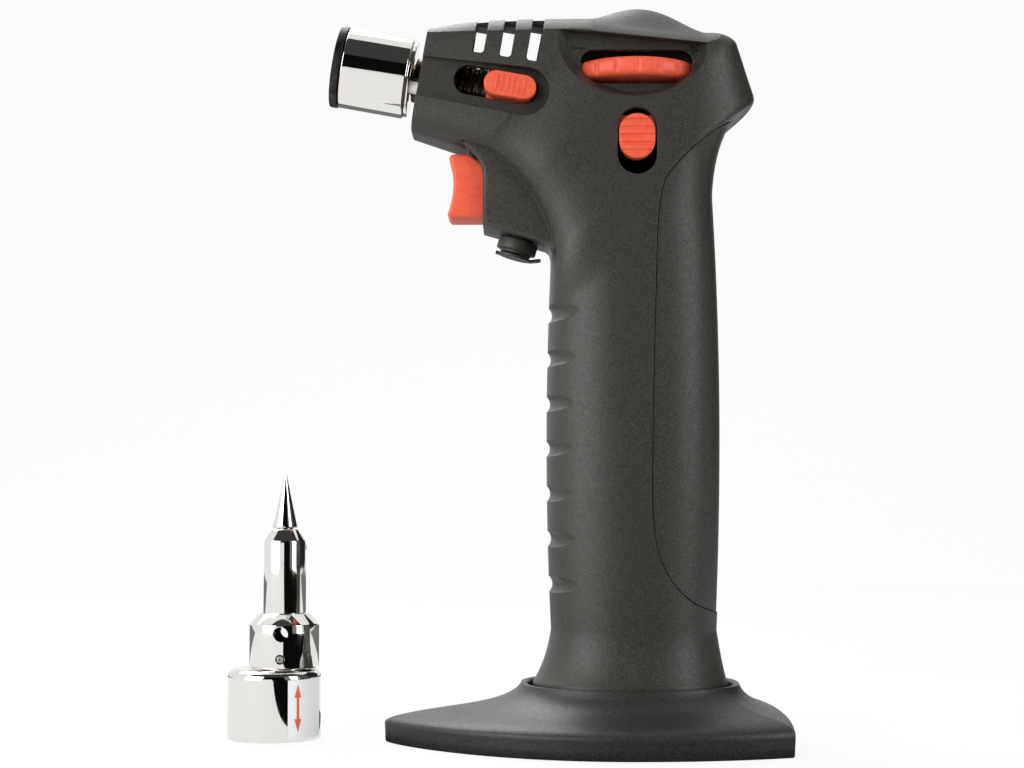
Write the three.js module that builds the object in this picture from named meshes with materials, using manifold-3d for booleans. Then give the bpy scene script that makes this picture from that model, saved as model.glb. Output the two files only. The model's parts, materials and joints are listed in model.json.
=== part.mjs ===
// Butane micro torch in its stand, with a soldering attachment standing beside it.
// Millimetres, +Z up, flame towards -X; the origin is on the table under the middle of the grip.
import * as THREE from 'three';
import { mergeVertices } from 'three/addons/utils/BufferGeometryUtils.js';
import Module from 'manifold-3d';

const wasm = await Module();
wasm.setup();

const TURN = 2 * Math.PI;
const HALF_TURN = Math.PI;
const QUARTER = Math.PI / 2;
const radians = THREE.MathUtils.degToRad;
const mix = THREE.MathUtils.lerp;
const ease = (share) => THREE.MathUtils.smoothstep(share, 0, 1);

// Facets round the casing, outside and inside
const CASING_FACETS = 24;
const HOLLOW_FACETS = 14;

// Fits and walls
const FIT = 0.3; // clearance between pieces that seat on each other
const WALL = 2; // moulded wall of the casing and the stand
const RUNNING_FIT = 0.45; // clearance round the pieces that slide

// Stand
const STAND_FRONT = 55.3; // reach in front of the grip's middle
const STAND_BACK = 36; // reach behind it
const STAND_HALF_WIDTH = 32.5;
const STAND_WIDEST_X = -2;
const STAND_RIM = 4.4; // height of the upright edge
const STAND_TOE = 0.4; // the edge hangs this far above the table
const COLLAR_HEIGHT = 13.4;
const COLLAR_GAP = 0.8; // round the foot of the grip
const COLLAR_LIP = 1.4; // thickness of the collar's rim
const SOCKET_FLOOR = 1.5;
const PAD_THICKNESS = 0.6;
const BALLAST_THICKNESS = 2;
const BALLAST_SCREW_RADIUS = 1.4;
const BALLAST_HEAD_RADIUS = 2.6;
const BALLAST_HEAD_HEIGHT = 1;
const BALLAST_SCREW_LENGTH = 4.5;
const BALLAST_BOSS_RADIUS = 3.4;
const BALLAST_SCREW_SPOTS = [[-38, 0], [25, 17], [25, -17]];

// Grip
const GRIP_HALF_LENGTH = 18.2;
const GRIP_HALF_WIDTH = 15.5;
const GRIP_BULGE = 1;
const GRIP_MIDDLE = 65;
const GRIP_BULGE_SPAN = 41; // the swelling fades out this far above and below the middle
const FLARE_TOP = 25;
const FOOT_TOP = 13.4;
const FOOT_HALF_LENGTH = 22;
const FOOT_HALF_WIDTH = 18.3;
const GROOVE_COUNT = 7;
const GROOVE_PITCH = 10;
const GROOVE_LOWEST = 35;
const GROOVE_DEPTH = 1;
const GROOVE_ROUND = 1.6;
const GROOVE_SWEEP = 18; // radius of the groove's bottom, seen from above

// Head
const HEAD_FACE_X = -48.05; // nozzle end, on the burner's axis
const HEAD_FACE_TILT = radians(8);
const HEAD_FRONT_HALF_WIDTH = 10.8;
const NOSE_BACK_HALF_WIDTH = 13.2;
const HEAD_HALF_WIDTH = 15;
const CHIN_FRONT_Z = 135.3;
const CHIN_REAR_Z = 131;
const THROAT_END_Z = 108.5;
const CROWN_Z = 162.7;
const CROWN_FRONT_DROP = 1.5;
const CROWN_FALL = 2.3; // from the front of the hump to its back
const HUMP_X = 2;
const HUMP_HALF_LENGTH = 14;
const HUMP_HEIGHT = 3.5;
const HEAD_BACK_TOP = [24.2, 158.9];
const HEAD_BACK_LOW = [28.2, 143.3];
const HEAD_BACK_ROUND = 2.3;
const UNDERCUT_END_Z = 122;

// Trigger block under the head
const BLOCK_FRONT_X = -33;
const BLOCK_FRONT_Z = 113.6; // lower front corner
const BLOCK_SLOPE = radians(14.3); // of the underside
const BLOCK_HALF_WIDTH = 10;
const BLOCK_BACK_X = -14;
const BLOCK_WALL = 1.6;
const BLOCK_ROUND = 1.2;

// Tank and its cover
const COVER_STEP = 0.25; // the cover lies this far below the casing
const TANK_WALL = 1.8;
const TANK_BOTTOM = 12.6;
const TANK_TOP = 106;
const COVER_TOP_Z = 140.5;
const COVER_BOTTOM_Z = 29;
const COVER_SEAM = [[25.5, COVER_TOP_Z], [17.4, 134.6], [9.6, 127.5], [5.6, 119.7], [4.4, 97.3],
  [3.5, 62], [3.8, 47], [6.4, 38], [11.6, 32], [18.1, COVER_BOTTOM_Z]];

// Burner, along its own tilted axis from the head's face
const BURNER_TILT = radians(10);
const BURNER_Z = 148.65;
const TUBE_STANDOFF = 1.35;
const TUBE_LENGTH = 15.6;
const TUBE_RADIUS = 9.15;
const TUBE_WALL = 0.7;
const TUBE_WEB = 0.8;
const RING_LENGTH = 1.8;
const RING_RADIUS = 9.2;
const RING_LIP = 1.2;
const RING_SKIRT = 3;
const NOZZLE_RADIUS = 4.6;
const NOZZLE_LENGTH = 12.6; // in front of the tube's web
const NOZZLE_MOUTH = 3.6;
const NOZZLE_MOUTH_DEPTH = 4;
const NOZZLE_BORE = 2.4;
const SPIGOT_RADIUS = 3.3;
const COLLAR_RADIUS = 5;
const COLLAR_LENGTH = 6;
const SCREEN_THICKNESS = 0.6;
const SCREEN_HOLE = 0.45;
const MIXER_RADIUS = 5.75;
const MIXER_LENGTH = 23.7;
const MIXER_BORE = 2.6;
const MIXER_GROOVES = 5;
const MIXER_GROOVE_PITCH = 2;
const MIXER_GROOVE_DEPTH = 0.5;
const JET_RADIUS = 3;
const JET_TAIL_RADIUS = 2;
const JET_BORE = 0.6;
const INSULATOR_RADIUS = 1.4;
const INSULATOR_LENGTH = 14.5;
const INSULATOR_SIDE = -6; // towards the viewer
const INSULATOR_DROP = -3; // below the burner's axis
const ELECTRODE_RADIUS = 0.45;
const LEAD_RADIUS = 0.6;
const SADDLE_THICKNESS = 1.6;

// Air slider
const SLEEVE_WALL = 1.15;
const SLEEVE_LENGTH = 10;
const KNOB_LENGTH = 11.7;
const KNOB_HALF_HEIGHT = 2.75;
const KNOB_FACE = 12.6; // distance of its outer face from the burner's axis
const KNOB_RIBS = 5;
const KNOB_RIB_DEPTH = 0.5;
const AIR_TRAVEL = 6.4;
const AIR_SLOT_HALF_HEIGHT = 3.3;
const AIR_SLOT_BACK = 27.3; // from the head's face
const CHANNEL_FLOOR = 10; // distance of the recessed floor from the middle plane
const CHANNEL_LOW = -5.2;
const CHANNEL_HIGH = 3.2;
const CHANNEL_END_RADIUS = 5.45;
const CHANNEL_END = 24.5;
const PAN_WALL = 1.6; // wall behind a recessed floor

// Vents in the crown
const VENT_COUNT = 3;
const VENT_FIRST = 12.9; // from the head's face, along the burner
const VENT_PITCH = 6.1;
const VENT_WIDTH = 2.3;
const VENT_LOW = 6.5; // above the burner's axis
const VENT_HIGH = 13.6;
const VENT_SPINE = 4.5; // half of the strip left along the crown

// Flow wheel and valve
const WHEEL_X = 0.7;
const WHEEL_Z = 148.6;
const WHEEL_RADIUS = 15.4;
const WHEEL_THICKNESS = 5.2;
const WHEEL_NOTCHES = 20;
const WHEEL_NOTCH_DEPTH = 0.5;
const WHEEL_ROUND = 1.4;
const WHEEL_SLOT_BOTTOM = 0.5; // below the wheel
const WHEEL_SLOT_TOP = 1.7; // above it
const WHEEL_SLOT_RADIAL = 1.3;
const MOON_X = -0.5;
const MOON_Z = 156.6;
const MOON_HALF_LENGTH = 16.8;
const MOON_DEPTH = 13.9;
const MOON_TILT = radians(-4.8);
const MOON_FLOOR = 10.2;
const MOON_DRAFT = 1.1;
const SPINDLE_RADIUS = 1.5;
const SPINDLE_HEAD_RADIUS = 3;
const SPINDLE_HEAD_HEIGHT = 1.6;
const NEEDLE_LENGTH = 2.5;
const VALVE_HALF_WIDTH = 6;
const VALVE_HALF_LENGTH = 7.2;
const VALVE_HEIGHT = 10.5;
const GLAND_RADIUS = 4.2;
const GLAND_HEIGHT = 1.2;

// Lock button
const LOCK_X = 0.45;
const LOCK_Z = 133.1;
const LOCK_HALF_WIDTH = 3.95;
const LOCK_HALF_HEIGHT = 5;
const LOCK_PROUD = 0.3;
const LOCK_TRAVEL = 3;
const LOCK_SIDE_GAP = 0.4;
const LOCK_TOP_GAP = 1.3;
const LOCK_PLATE = 1.4;
const LOCK_PLATE_MARGIN = 2.2;
const LOCK_RIBS = 5;
const LOCK_RIB_PITCH = 1.7;
const LOCK_RIB_DEPTH = 0.35;

// Trigger, piezo igniter and gas lever
const TRIGGER_HALF_WIDTH = 8;
const TRIGGER_TOP = 131.5;
const TRIGGER_BOTTOM = 115.7;
const TRIGGER_FRONT_X = -41.3;
const TRIGGER_BACK_X = -27.3;
const TRIGGER_HOLLOW = 1; // depth of the finger curve
const TRIGGER_TRAVEL = 6;
const TRIGGER_ROUND = 0.5;
const TRIGGER_ARM_END_X = -19.5;
const TRIGGER_ARM_Y = 5.2;
const TRIGGER_ARM_WIDTH = 2.4;
const TRIGGER_ARM_Z = 127.5;
const TRIGGER_ARM_HEIGHT = 2.5;
const PIEZO_FRONT_X = -16.5;
const PIEZO_LENGTH = 24.5;
const PIEZO_HALF_WIDTH = 4.6;
const PIEZO_HALF_HEIGHT = 4.5;
const PIEZO_Z = 121.7;
const PLUNGER_RADIUS = 2.4;
const PLUNGER_SPARE = 1; // depth left under the plunger at full travel
const SPRING_TURNS = 5;
const SPRING_RADIUS = 3.4;
const SPRING_WIRE = 0.4;
const LEVER_PIVOT = [-16.2, 137];
const LEVER_TIP = [-18.3, 128.8];
const LEVER_END = [-12, 139.2];
const LEVER_HALF_WIDTH = 1.1;
const LEVER_TIP_RADIUS = 0.9;
const LEVER_HUB = 2.6;
const LEVER_PIN_RADIUS = 1.2;
const LEVER_BOSS_RADIUS = 2.7;

// Filler under the trigger block
const FILLER_X = -24.6;
const FILLER_RADIUS = 4.7;
const FILLER_HEIGHT = 2;
const FILLER_NECK = 3.4;
const FILLER_NECK_LENGTH = 2.5;
const FILLER_VALVE_RADIUS = 2;
const FILLER_VALVE_LENGTH = 5.6;
const FILLER_VALVE_BORE = 0.6;
const LID_RADIUS = 4.3;
const LID_THICKNESS = 0.9;
const LID_HINGE = 5; // behind the filler's axis
const LID_TONGUE = 1.6;
const LID_LIP = 0.7;
const FILLER_TUBE_RADIUS = 0.8;
const FILLER_TUBE_X = -12.5;
const OUTLET_X = 11;
const OUTLET_RADIUS = 3;
const OUTLET_HEIGHT = 2.6;
const NIPPLE_RADIUS = 1.5;
const NIPPLE_HEIGHT = 2.5;
const SPIGOT_DEPTH = 3;
const HOSE_RADIUS = 1.5;
const HOSE_TOP_X = 5;

// Housing screws on the far side: x, z and the seat of the head
const SCREW_SPOTS = [[-44.5, 138.3, 5], [20.8, 150.5, 7], [-1, 111.5, 10], [0, 9.4, 13]];
const SCREW_RADIUS = 1.3;
const SCREW_HEAD_RADIUS = 2.3;
const SCREW_HEAD_HEIGHT = 1.6;
const SCREW_BITE = 5; // length in the near half
const SCREW_BOSS_RADIUS = 2.8;

// Soldering attachment
const ATTACHMENT_X = -80.85;
const ATTACHMENT_Y = 8;
const SOCKET_RADIUS = 10.6;
const SOCKET_TAPER = 0.15;
const SOCKET_HEIGHT = 15.6;
const SOCKET_SHOULDER = 1.8;
const SOCKET_TOP_WALL = 2.1;
const SOCKET_PLAY = 0.35; // over the burner's mouth ring
const SLEEVE_OFFSET = 2.2; // the sleeve stands off the socket's middle
const TIP_SLEEVE_RADIUS = 7.85;
const TIP_SLEEVE_WALL = 1.2;
const TIP_SLEEVE_TOP = 25.6;
const TIP_SLEEVE_SPIGOT = 4.7;
const CONE_HEIGHT = 2.4;
const EXHAUST_Z = 23.6;
const EXHAUST_RADIUS = 1.7;
const SET_SCREW_Z = 18.1;
const SET_SCREW_RADIUS = 0.8;
const BARREL_RADIUS = 4.8;
const BARREL_TOP = 47;
const BARREL_CHAMFER = 2.7;
const BARREL_FACE_RADIUS = 3.1;
const BARREL_HOLE_Z = 42.9;
const BARREL_HOLE_RADIUS = 0.8;
const TIP_RADIUS = 2.8;
const TIP_POINT_RADIUS = 0.25;
const TIP_TOP = 59.3;
const TIP_STEM_RADIUS = 1.8;
const TIP_STEM_LENGTH = 6;

// Heights and lengths that follow from the sizes above
const ballastBottom = PAD_THICKNESS + FIT;
const ballastTop = ballastBottom + BALLAST_THICKNESS;
const socketUnderside = ballastTop + FIT;
const socketFloor = socketUnderside + SOCKET_FLOOR;
const footBottom = socketFloor + FIT;
const tubeRear = -TUBE_STANDOFF;
const tubeFront = tubeRear - TUBE_LENGTH;
const webFront = tubeRear - TUBE_WEB;
const collarFront = tubeRear + FIT;
const collarBack = collarFront + COLLAR_LENGTH;
const mixerFront = collarBack + FIT;
const mixerBack = mixerFront + MIXER_LENGTH;
const sleeveInner = MIXER_RADIUS + FIT;
const sleeveOuter = sleeveInner + SLEEVE_WALL;
const knobMiddle = AIR_SLOT_BACK - RUNNING_FIT - KNOB_LENGTH / 2;
const airSlotFront = AIR_SLOT_BACK - KNOB_LENGTH - AIR_TRAVEL - 2 * RUNNING_FIT;
const valveTop = WHEEL_Z - WHEEL_THICKNESS / 2 - FIT - GLAND_HEIGHT;
const valveBottom = valveTop - VALVE_HEIGHT;
const insulatorBack = collarBack - FIT;
const insulatorFront = insulatorBack - INSULATOR_LENGTH;

// Materials
const finish = (color, roughness, metalness) => () => (
  new THREE.MeshStandardMaterial({ color, roughness, metalness }));
const blackPlastic = finish(0x383734, 0.62, 0);
const orangePlastic = finish(0xe7644a, 0.42, 0);
const standPlastic = finish(0x3b3c3b, 0.6, 0);
const chrome = finish(0xd8d8d6, 0.08, 1);
const steel = finish(0x9c9c98, 0.35, 1);
const stainedSteel = finish(0x4d4037, 0.4, 1);
const brass = finish(0xb59448, 0.35, 1);
const rubber = finish(0x1f1f1f, 0.85, 0);
const ceramic = finish(0xf1eee6, 0.4, 0);
const smokedPlastic = finish(0x4a4640, 0.3, 0);
const darkMetal = finish(0x2a2a2a, 0.4, 1);

// Closed meshes and boolean solids
function outward(geometry) {
  const bare = geometry.clone();
  bare.deleteAttribute('normal');
  bare.deleteAttribute('uv');
  const merged = mergeVertices(bare, 1e-4);
  const at = merged.attributes.position;
  const corners = [];
  const [a, b, c] = [new THREE.Vector3(), new THREE.Vector3(), new THREE.Vector3()];
  let volume = 0;
  for (let i = 0; i < merged.index.count; i += 3) {
    const [p, q, r] = [0, 1, 2].map((k) => merged.index.getX(i + k));
    if (p === q || q === r || r === p) continue;
    corners.push(p, q, r);
    a.fromBufferAttribute(at, p);
    b.fromBufferAttribute(at, q);
    c.fromBufferAttribute(at, r);
    volume += a.dot(b.cross(c));
  }
  merged.setIndex(volume < 0 ? corners.reverse() : corners);
  return merged;
}

function solidOf(geometry) {
  const closed = outward(geometry);
  return new wasm.Manifold(new wasm.Mesh({
    numProp: 3,
    vertProperties: Float32Array.from(closed.attributes.position.array),
    triVerts: Uint32Array.from(closed.index.array),
  }));
}

function geometryOf(solid) {
  const { vertProperties, triVerts } = solid.getMesh();
  const geometry = new THREE.BufferGeometry();
  geometry.setAttribute('position', new THREE.BufferAttribute(vertProperties, 3));
  geometry.setIndex(new THREE.BufferAttribute(triVerts, 1));
  return geometry;
}

const join = (first, ...others) => others.reduce((whole, other) => whole.add(other), first);
const cut = (first, ...tools) => tools.reduce((rest, tool) => rest.subtract(tool), first);

function piece(parent, name, shape, material) {
  const geometry = shape.isBufferGeometry ? outward(shape) : geometryOf(shape);
  geometry.computeVertexNormals();
  const mesh = new THREE.Mesh(geometry, material());
  mesh.name = name;
  parent.add(mesh);
  return mesh;
}

// Basic forms
function box([x0, y0, z0], [x1, y1, z1]) {
  const geometry = new THREE.BoxGeometry(x1 - x0, y1 - y0, z1 - z0);
  return geometry.translate((x0 + x1) / 2, (y0 + y1) / 2, (z0 + z1) / 2);
}

// A profile of [radius, height] turned about Z; it ends on the axis or closes on itself.
function turned(profile, segments) {
  const points = profile.map(([radius, height]) => new THREE.Vector2(radius, height));
  if (profile[0][0] > 0) points.push(points[0].clone());
  return outward(new THREE.LatheGeometry(points, segments).rotateX(QUARTER));
}

const turnedX = (profile, segments) => turned(profile, segments).rotateY(QUARTER);
const turnedY = (profile, segments) => turned(profile, segments).rotateX(-QUARTER);
const rod = (radius, from, to) => [[0, from], [radius, from], [radius, to], [0, to]];
const pipe = (inner, outer, from, to) => [[inner, from], [outer, from], [outer, to], [inner, to]];

// An outline in the side view (x, z) given a thickness across the torch.
function across(shape, yLow, yHigh, round = 0) {
  const geometry = new THREE.ExtrudeGeometry(shape, {
    depth: yHigh - yLow - 2 * round,
    bevelEnabled: round > 0,
    bevelThickness: round,
    bevelSize: round,
    bevelOffset: -round,
    bevelSegments: 1,
    curveSegments: 6,
  });
  return geometry.rotateX(QUARTER).translate(0, yHigh - round, 0);
}

function outline(points) {
  return new THREE.Shape(points.map(([x, z]) => new THREE.Vector2(x, z)));
}

function stadium(xLow, xHigh, zMiddle, halfHeight) {
  const shape = new THREE.Shape();
  shape.absarc(xHigh - halfHeight, zMiddle, halfHeight, -QUARTER, QUARTER);
  shape.absarc(xLow + halfHeight, zMiddle, halfHeight, QUARTER, QUARTER + HALF_TURN);
  return shape;
}

function uprightStadium(xMiddle, halfWidth, zLow, zHigh) {
  const shape = new THREE.Shape();
  shape.absarc(xMiddle, zHigh - halfWidth, halfWidth, 0, HALF_TURN);
  shape.absarc(xMiddle, zLow + halfWidth, halfWidth, HALF_TURN, TURN);
  return shape;
}

function wire(points, radius, sides, steps) {
  const path = new THREE.CatmullRomCurve3(points.map((p) => new THREE.Vector3(...p)), false, 'centripetal');
  const section = new THREE.Shape();
  section.absarc(0, 0, radius, 0, TURN);
  section.autoClose = true;
  const round = new THREE.Shape(section.getSpacedPoints(sides).slice(0, sides));
  return new THREE.ExtrudeGeometry(round, { steps, extrudePath: path, bevelEnabled: false });
}

// A closed skin over loops of points of equal count, capped at both ends.
function skin(loops) {
  const count = loops[0].length;
  const positions = loops.flat().flatMap((p) => [p.x, p.y, p.z]);
  const faces = [];
  for (let i = 0; i + 1 < loops.length; i += 1) {
    for (let j = 0; j < count; j += 1) {
      const [a, b] = [i * count + j, i * count + ((j + 1) % count)];
      faces.push(a, b, b + count, a, b + count, a + count);
    }
  }
  [0, loops.length - 1].forEach((end, side) => {
    const middle = loops[end].reduce((sum, p) => sum.add(p), new THREE.Vector3()).divideScalar(count);
    const hub = positions.length / 3;
    positions.push(middle.x, middle.y, middle.z);
    for (let j = 0; j < count; j += 1) {
      const [a, b] = [end * count + j, end * count + ((j + 1) % count)];
      faces.push(...(side ? [hub, a, b] : [hub, b, a]));
    }
  });
  const geometry = new THREE.BufferGeometry();
  geometry.setAttribute('position', new THREE.Float32BufferAttribute(positions, 3));
  geometry.setIndex(faces);
  return outward(geometry);
}

// Casing: its front and back edges in the side view, walked together from nozzle to foot
const facePoint = (z) => [HEAD_FACE_X + (z - BURNER_Z) * Math.tan(HEAD_FACE_TILT), z];

function gripHalfLength(z) {
  const away = (z - GRIP_MIDDLE) / GRIP_BULGE_SPAN;
  return GRIP_HALF_LENGTH + GRIP_BULGE * Math.max(0, 1 - away * away);
}

function crownHeight(x) {
  const start = HUMP_X - HUMP_HALF_LENGTH;
  const along = THREE.MathUtils.clamp((x - start) / (2 * HUMP_HALF_LENGTH), 0, 1);
  const away = 2 * along - 1;
  return CROWN_Z - CROWN_FALL * along + HUMP_HEIGHT * Math.pow(1 - away * away, 1.3);
}

function gripEdge(side, zHigh) {
  const path = new THREE.Path();
  const rows = [0, 0.2, 0.4, 0.6, 0.8, 1].map((share) => mix(zHigh, FLARE_TOP, share));
  const points = rows.map((z) => new THREE.Vector2(side * gripHalfLength(z), z));
  path.moveTo(points[0].x, points[0].y);
  path.splineThru(points.slice(1));
  return path;
}

function flareEdge(side) {
  const path = new THREE.Path();
  path.moveTo(side * gripHalfLength(FLARE_TOP), FLARE_TOP);
  const bend = mix(FLARE_TOP, FOOT_TOP, 0.6);
  path.quadraticCurveTo(side * (GRIP_HALF_LENGTH + 1), bend, side * FOOT_HALF_LENGTH, FOOT_TOP);
  return path;
}

function footEdge(side) {
  const path = new THREE.Path();
  path.moveTo(side * FOOT_HALF_LENGTH, FOOT_TOP);
  path.lineTo(side * FOOT_HALF_LENGTH, footBottom);
  return path;
}

function chinEdge() {
  const path = new THREE.Path();
  path.moveTo(...facePoint(CHIN_FRONT_Z));
  path.lineTo(BLOCK_FRONT_X, CHIN_REAR_Z);
  return path;
}

function crownFrontEdge() {
  const path = new THREE.Path();
  const start = facePoint(CROWN_Z - CROWN_FRONT_DROP);
  const end = HUMP_X - HUMP_HALF_LENGTH;
  path.moveTo(...start);
  path.quadraticCurveTo((start[0] + end) / 2, CROWN_Z, end, CROWN_Z);
  return path;
}

function throatEdge() {
  const path = new THREE.Path();
  const end = -gripHalfLength(THROAT_END_Z);
  path.moveTo(BLOCK_FRONT_X, CHIN_REAR_Z);
  const drop = CHIN_REAR_Z - THROAT_END_Z;
  path.bezierCurveTo(
    mix(BLOCK_FRONT_X, end, 0.4), CHIN_REAR_Z - 0.11 * drop,
    mix(BLOCK_FRONT_X, end, 0.89), CHIN_REAR_Z - 0.53 * drop,
    end, THROAT_END_Z);
  return path;
}

function crownBackEdge() {
  const path = new THREE.Path();
  const start = HUMP_X - HUMP_HALF_LENGTH;
  path.moveTo(start, CROWN_Z);
  const humps = [0.125, 0.25, 0.375, 0.5, 0.625, 0.75, 0.875, 1];
  const over = humps.map((share) => start + share * 2 * HUMP_HALF_LENGTH);
  path.splineThru(over.map((x) => new THREE.Vector2(x, crownHeight(x))));
  const [top, low] = [new THREE.Vector2(...HEAD_BACK_TOP), new THREE.Vector2(...HEAD_BACK_LOW)];
  const down = low.clone().sub(top).normalize().multiplyScalar(HEAD_BACK_ROUND);
  path.lineTo(top.x - HEAD_BACK_ROUND, top.y + 0.1 * HEAD_BACK_ROUND);
  path.quadraticCurveTo(top.x, top.y, top.x + down.x, top.y + down.y);
  path.lineTo(low.x - down.x, low.y - down.y);
  path.quadraticCurveTo(low.x, low.y, low.x - 0.8 * HEAD_BACK_ROUND, low.y - 0.65 * HEAD_BACK_ROUND);
  return path;
}

function backEdge() {
  const path = new THREE.Path();
  const start = [HEAD_BACK_LOW[0] - 0.8 * HEAD_BACK_ROUND, HEAD_BACK_LOW[1] - 0.65 * HEAD_BACK_ROUND];
  const end = gripHalfLength(UNDERCUT_END_Z);
  const drop = start[1] - UNDERCUT_END_Z;
  path.moveTo(...start);
  path.bezierCurveTo(
    mix(start[0], end, 0.6), start[1] - 0.17 * drop,
    end, start[1] - 0.55 * drop,
    end, UNDERCUT_END_Z);
  const rows = [0.2, 0.4, 0.6, 0.8, 1].map((share) => mix(UNDERCUT_END_Z, FLARE_TOP, share));
  path.splineThru(rows.map((z) => new THREE.Vector2(gripHalfLength(z), z)));
  return path;
}

// The runs of sections, each with its two edges and how the section changes along it.
// Power is the squareness of the section; widest is where it is broadest, from front to back.
const CASING_RUNS = [
  { front: chinEdge(), back: crownFrontEdge(), steps: 3,
    half: (s) => mix(HEAD_FRONT_HALF_WIDTH, NOSE_BACK_HALF_WIDTH, s),
    power: () => [3.2, 3], widest: (s) => mix(0.5, 0.45, s) },
  { front: throatEdge(), back: crownBackEdge(), steps: 12,
    half: (s) => mix(NOSE_BACK_HALF_WIDTH, HEAD_HALF_WIDTH, ease(Math.min(1, 2 * s))),
    power: (s) => [mix(3.2, 3.8, s), mix(3, 2.8, s)], widest: () => 0.45 },
  { front: gripEdge(-1, THROAT_END_Z), back: backEdge(), steps: 8,
    half: (s) => mix(HEAD_HALF_WIDTH, GRIP_HALF_WIDTH, ease(s)),
    power: (s) => [mix(3.8, 2.3, ease(Math.min(1, 2.5 * s))), mix(2.8, 2.3, ease(s))],
    widest: (s) => mix(0.45, 0.5, s) },
  { front: flareEdge(-1), back: flareEdge(1), steps: 4,
    half: (s) => mix(GRIP_HALF_WIDTH, FOOT_HALF_WIDTH, s * s),
    power: () => [2.3, 2.3], widest: () => 0.5 },
  { front: footEdge(-1), back: footEdge(1), steps: 1,
    half: () => FOOT_HALF_WIDTH, power: () => [2.3, 2.3], widest: () => 0.5 },
];

function casingStations(detail) {
  const stations = [];
  CASING_RUNS.forEach((run, index) => {
    const steps = Math.ceil(run.steps * detail);
    const fronts = run.front.getSpacedPoints(steps);
    const backs = run.back.getSpacedPoints(steps);
    for (let i = index ? 1 : 0; i <= steps; i += 1) {
      const share = i / steps;
      stations.push({
        front: fronts[i], back: backs[i], half: run.half(share),
        power: run.power(share), widest: run.widest(share),
      });
    }
  });
  return stations;
}

// An edge moved inwards by the inset, with its two ends drawn in as well.
function drawnIn(edge, turnSign, inset) {
  return edge.map((point, i) => {
    const before = edge[Math.max(0, i - 1)];
    const after = edge[Math.min(edge.length - 1, i + 1)];
    const along = after.clone().sub(before).normalize();
    const inward = new THREE.Vector2(-along.y, along.x).multiplyScalar(turnSign * inset);
    const ends = (i === 0 ? 1 : 0) - (i === edge.length - 1 ? 1 : 0);
    return point.clone().add(inward).addScaledVector(along, ends * inset);
  });
}

function casingForm(inset, around) {
  const stations = casingStations(around / CASING_FACETS);
  const fronts = drawnIn(stations.map((s) => s.front), 1, inset);
  const backs = drawnIn(stations.map((s) => s.back), -1, inset);
  const loops = stations.map((station, i) => {
    const loop = [];
    for (let j = 0; j < around; j += 1) {
      const angle = (TURN * j) / around;
      const [c, s] = [Math.cos(angle), Math.sin(angle)];
      const power = 2 / station.power[c < 0 ? 0 : 1];
      const reach = Math.pow(Math.abs(c), power);
      const along = c < 0 ? station.widest * (1 - reach) : mix(station.widest, 1, reach);
      const spot = fronts[i].clone().lerp(backs[i], along);
      const side = Math.sign(s) * Math.pow(Math.abs(s), power) * (station.half - inset);
      loop.push(new THREE.Vector3(spot.x, Math.abs(s) < 1e-9 ? 0 : side, spot.y));
    }
    return loop;
  });
  return solidOf(skin(loops));
}

// Local frames
const burnerFrame = new THREE.Group();
burnerFrame.position.set(HEAD_FACE_X, 0, BURNER_Z);
burnerFrame.rotation.y = BURNER_TILT;
burnerFrame.updateMatrix();

const undersideZ = (x) => BLOCK_FRONT_Z - (x - BLOCK_FRONT_X) * Math.tan(BLOCK_SLOPE);
const fillerFrame = new THREE.Group();
fillerFrame.position.set(FILLER_X, 0, undersideZ(FILLER_X));
fillerFrame.rotation.y = BLOCK_SLOPE;
fillerFrame.updateMatrix();

const inFrame = (frame, geometry) => solidOf(geometry.clone().applyMatrix4(frame.matrix));
const inBurner = (geometry) => inFrame(burnerFrame, geometry);
const inFiller = (geometry) => inFrame(fillerFrame, geometry);
const mirrored = (geometry) => outward(geometry.clone().scale(1, -1, 1));

// Trigger block: the narrow box under the head
function blockShape(inset) {
  const slopeInset = inset / Math.cos(BLOCK_SLOPE);
  return outline([
    [BLOCK_FRONT_X + inset, CHIN_REAR_Z + 3],
    [BLOCK_FRONT_X + inset, undersideZ(BLOCK_FRONT_X + inset) + slopeInset],
    [BLOCK_BACK_X, undersideZ(BLOCK_BACK_X) + slopeInset],
    [BLOCK_BACK_X, CHIN_REAR_Z + 3],
  ]);
}

// Seam of the tank cover: the region behind it, moved forwards by a gap
function coverRegion(gap) {
  const curve = new THREE.SplineCurve(COVER_SEAM.map(([x, z]) => new THREE.Vector2(x, z)));
  const points = curve.getSpacedPoints(22).map((point, i, all) => {
    const before = all[Math.max(0, i - 1)];
    const after = all[Math.min(all.length - 1, i + 1)];
    const along = after.clone().sub(before).normalize();
    return [point.x + along.y * gap, point.y - along.x * gap];
  });
  const beyond = HEAD_BACK_LOW[0] + WALL;
  return outline([[beyond, points[0][1]], ...points, [beyond, points[points.length - 1][1]]]);
}

const coverTool = (gap) => solidOf(across(coverRegion(gap), -2 * HEAD_HALF_WIDTH, 2 * HEAD_HALF_WIDTH));

// Recess round the flow wheel
function moonShape(grow) {
  const shape = new THREE.Shape();
  shape.absellipse(MOON_X, MOON_Z + grow, MOON_HALF_LENGTH + grow, MOON_DEPTH + 2 * grow,
    0, HALF_TURN, true, MOON_TILT);
  return shape;
}

function moonCut() {
  const depth = HEAD_HALF_WIDTH - MOON_FLOOR;
  const geometry = new THREE.ExtrudeGeometry(moonShape(-MOON_DRAFT), {
    depth, bevelThickness: depth, bevelSize: MOON_DRAFT, bevelSegments: 1, curveSegments: 12,
  });
  return geometry.rotateX(QUARTER).translate(0, -MOON_FLOOR - depth, 0);
}

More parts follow.
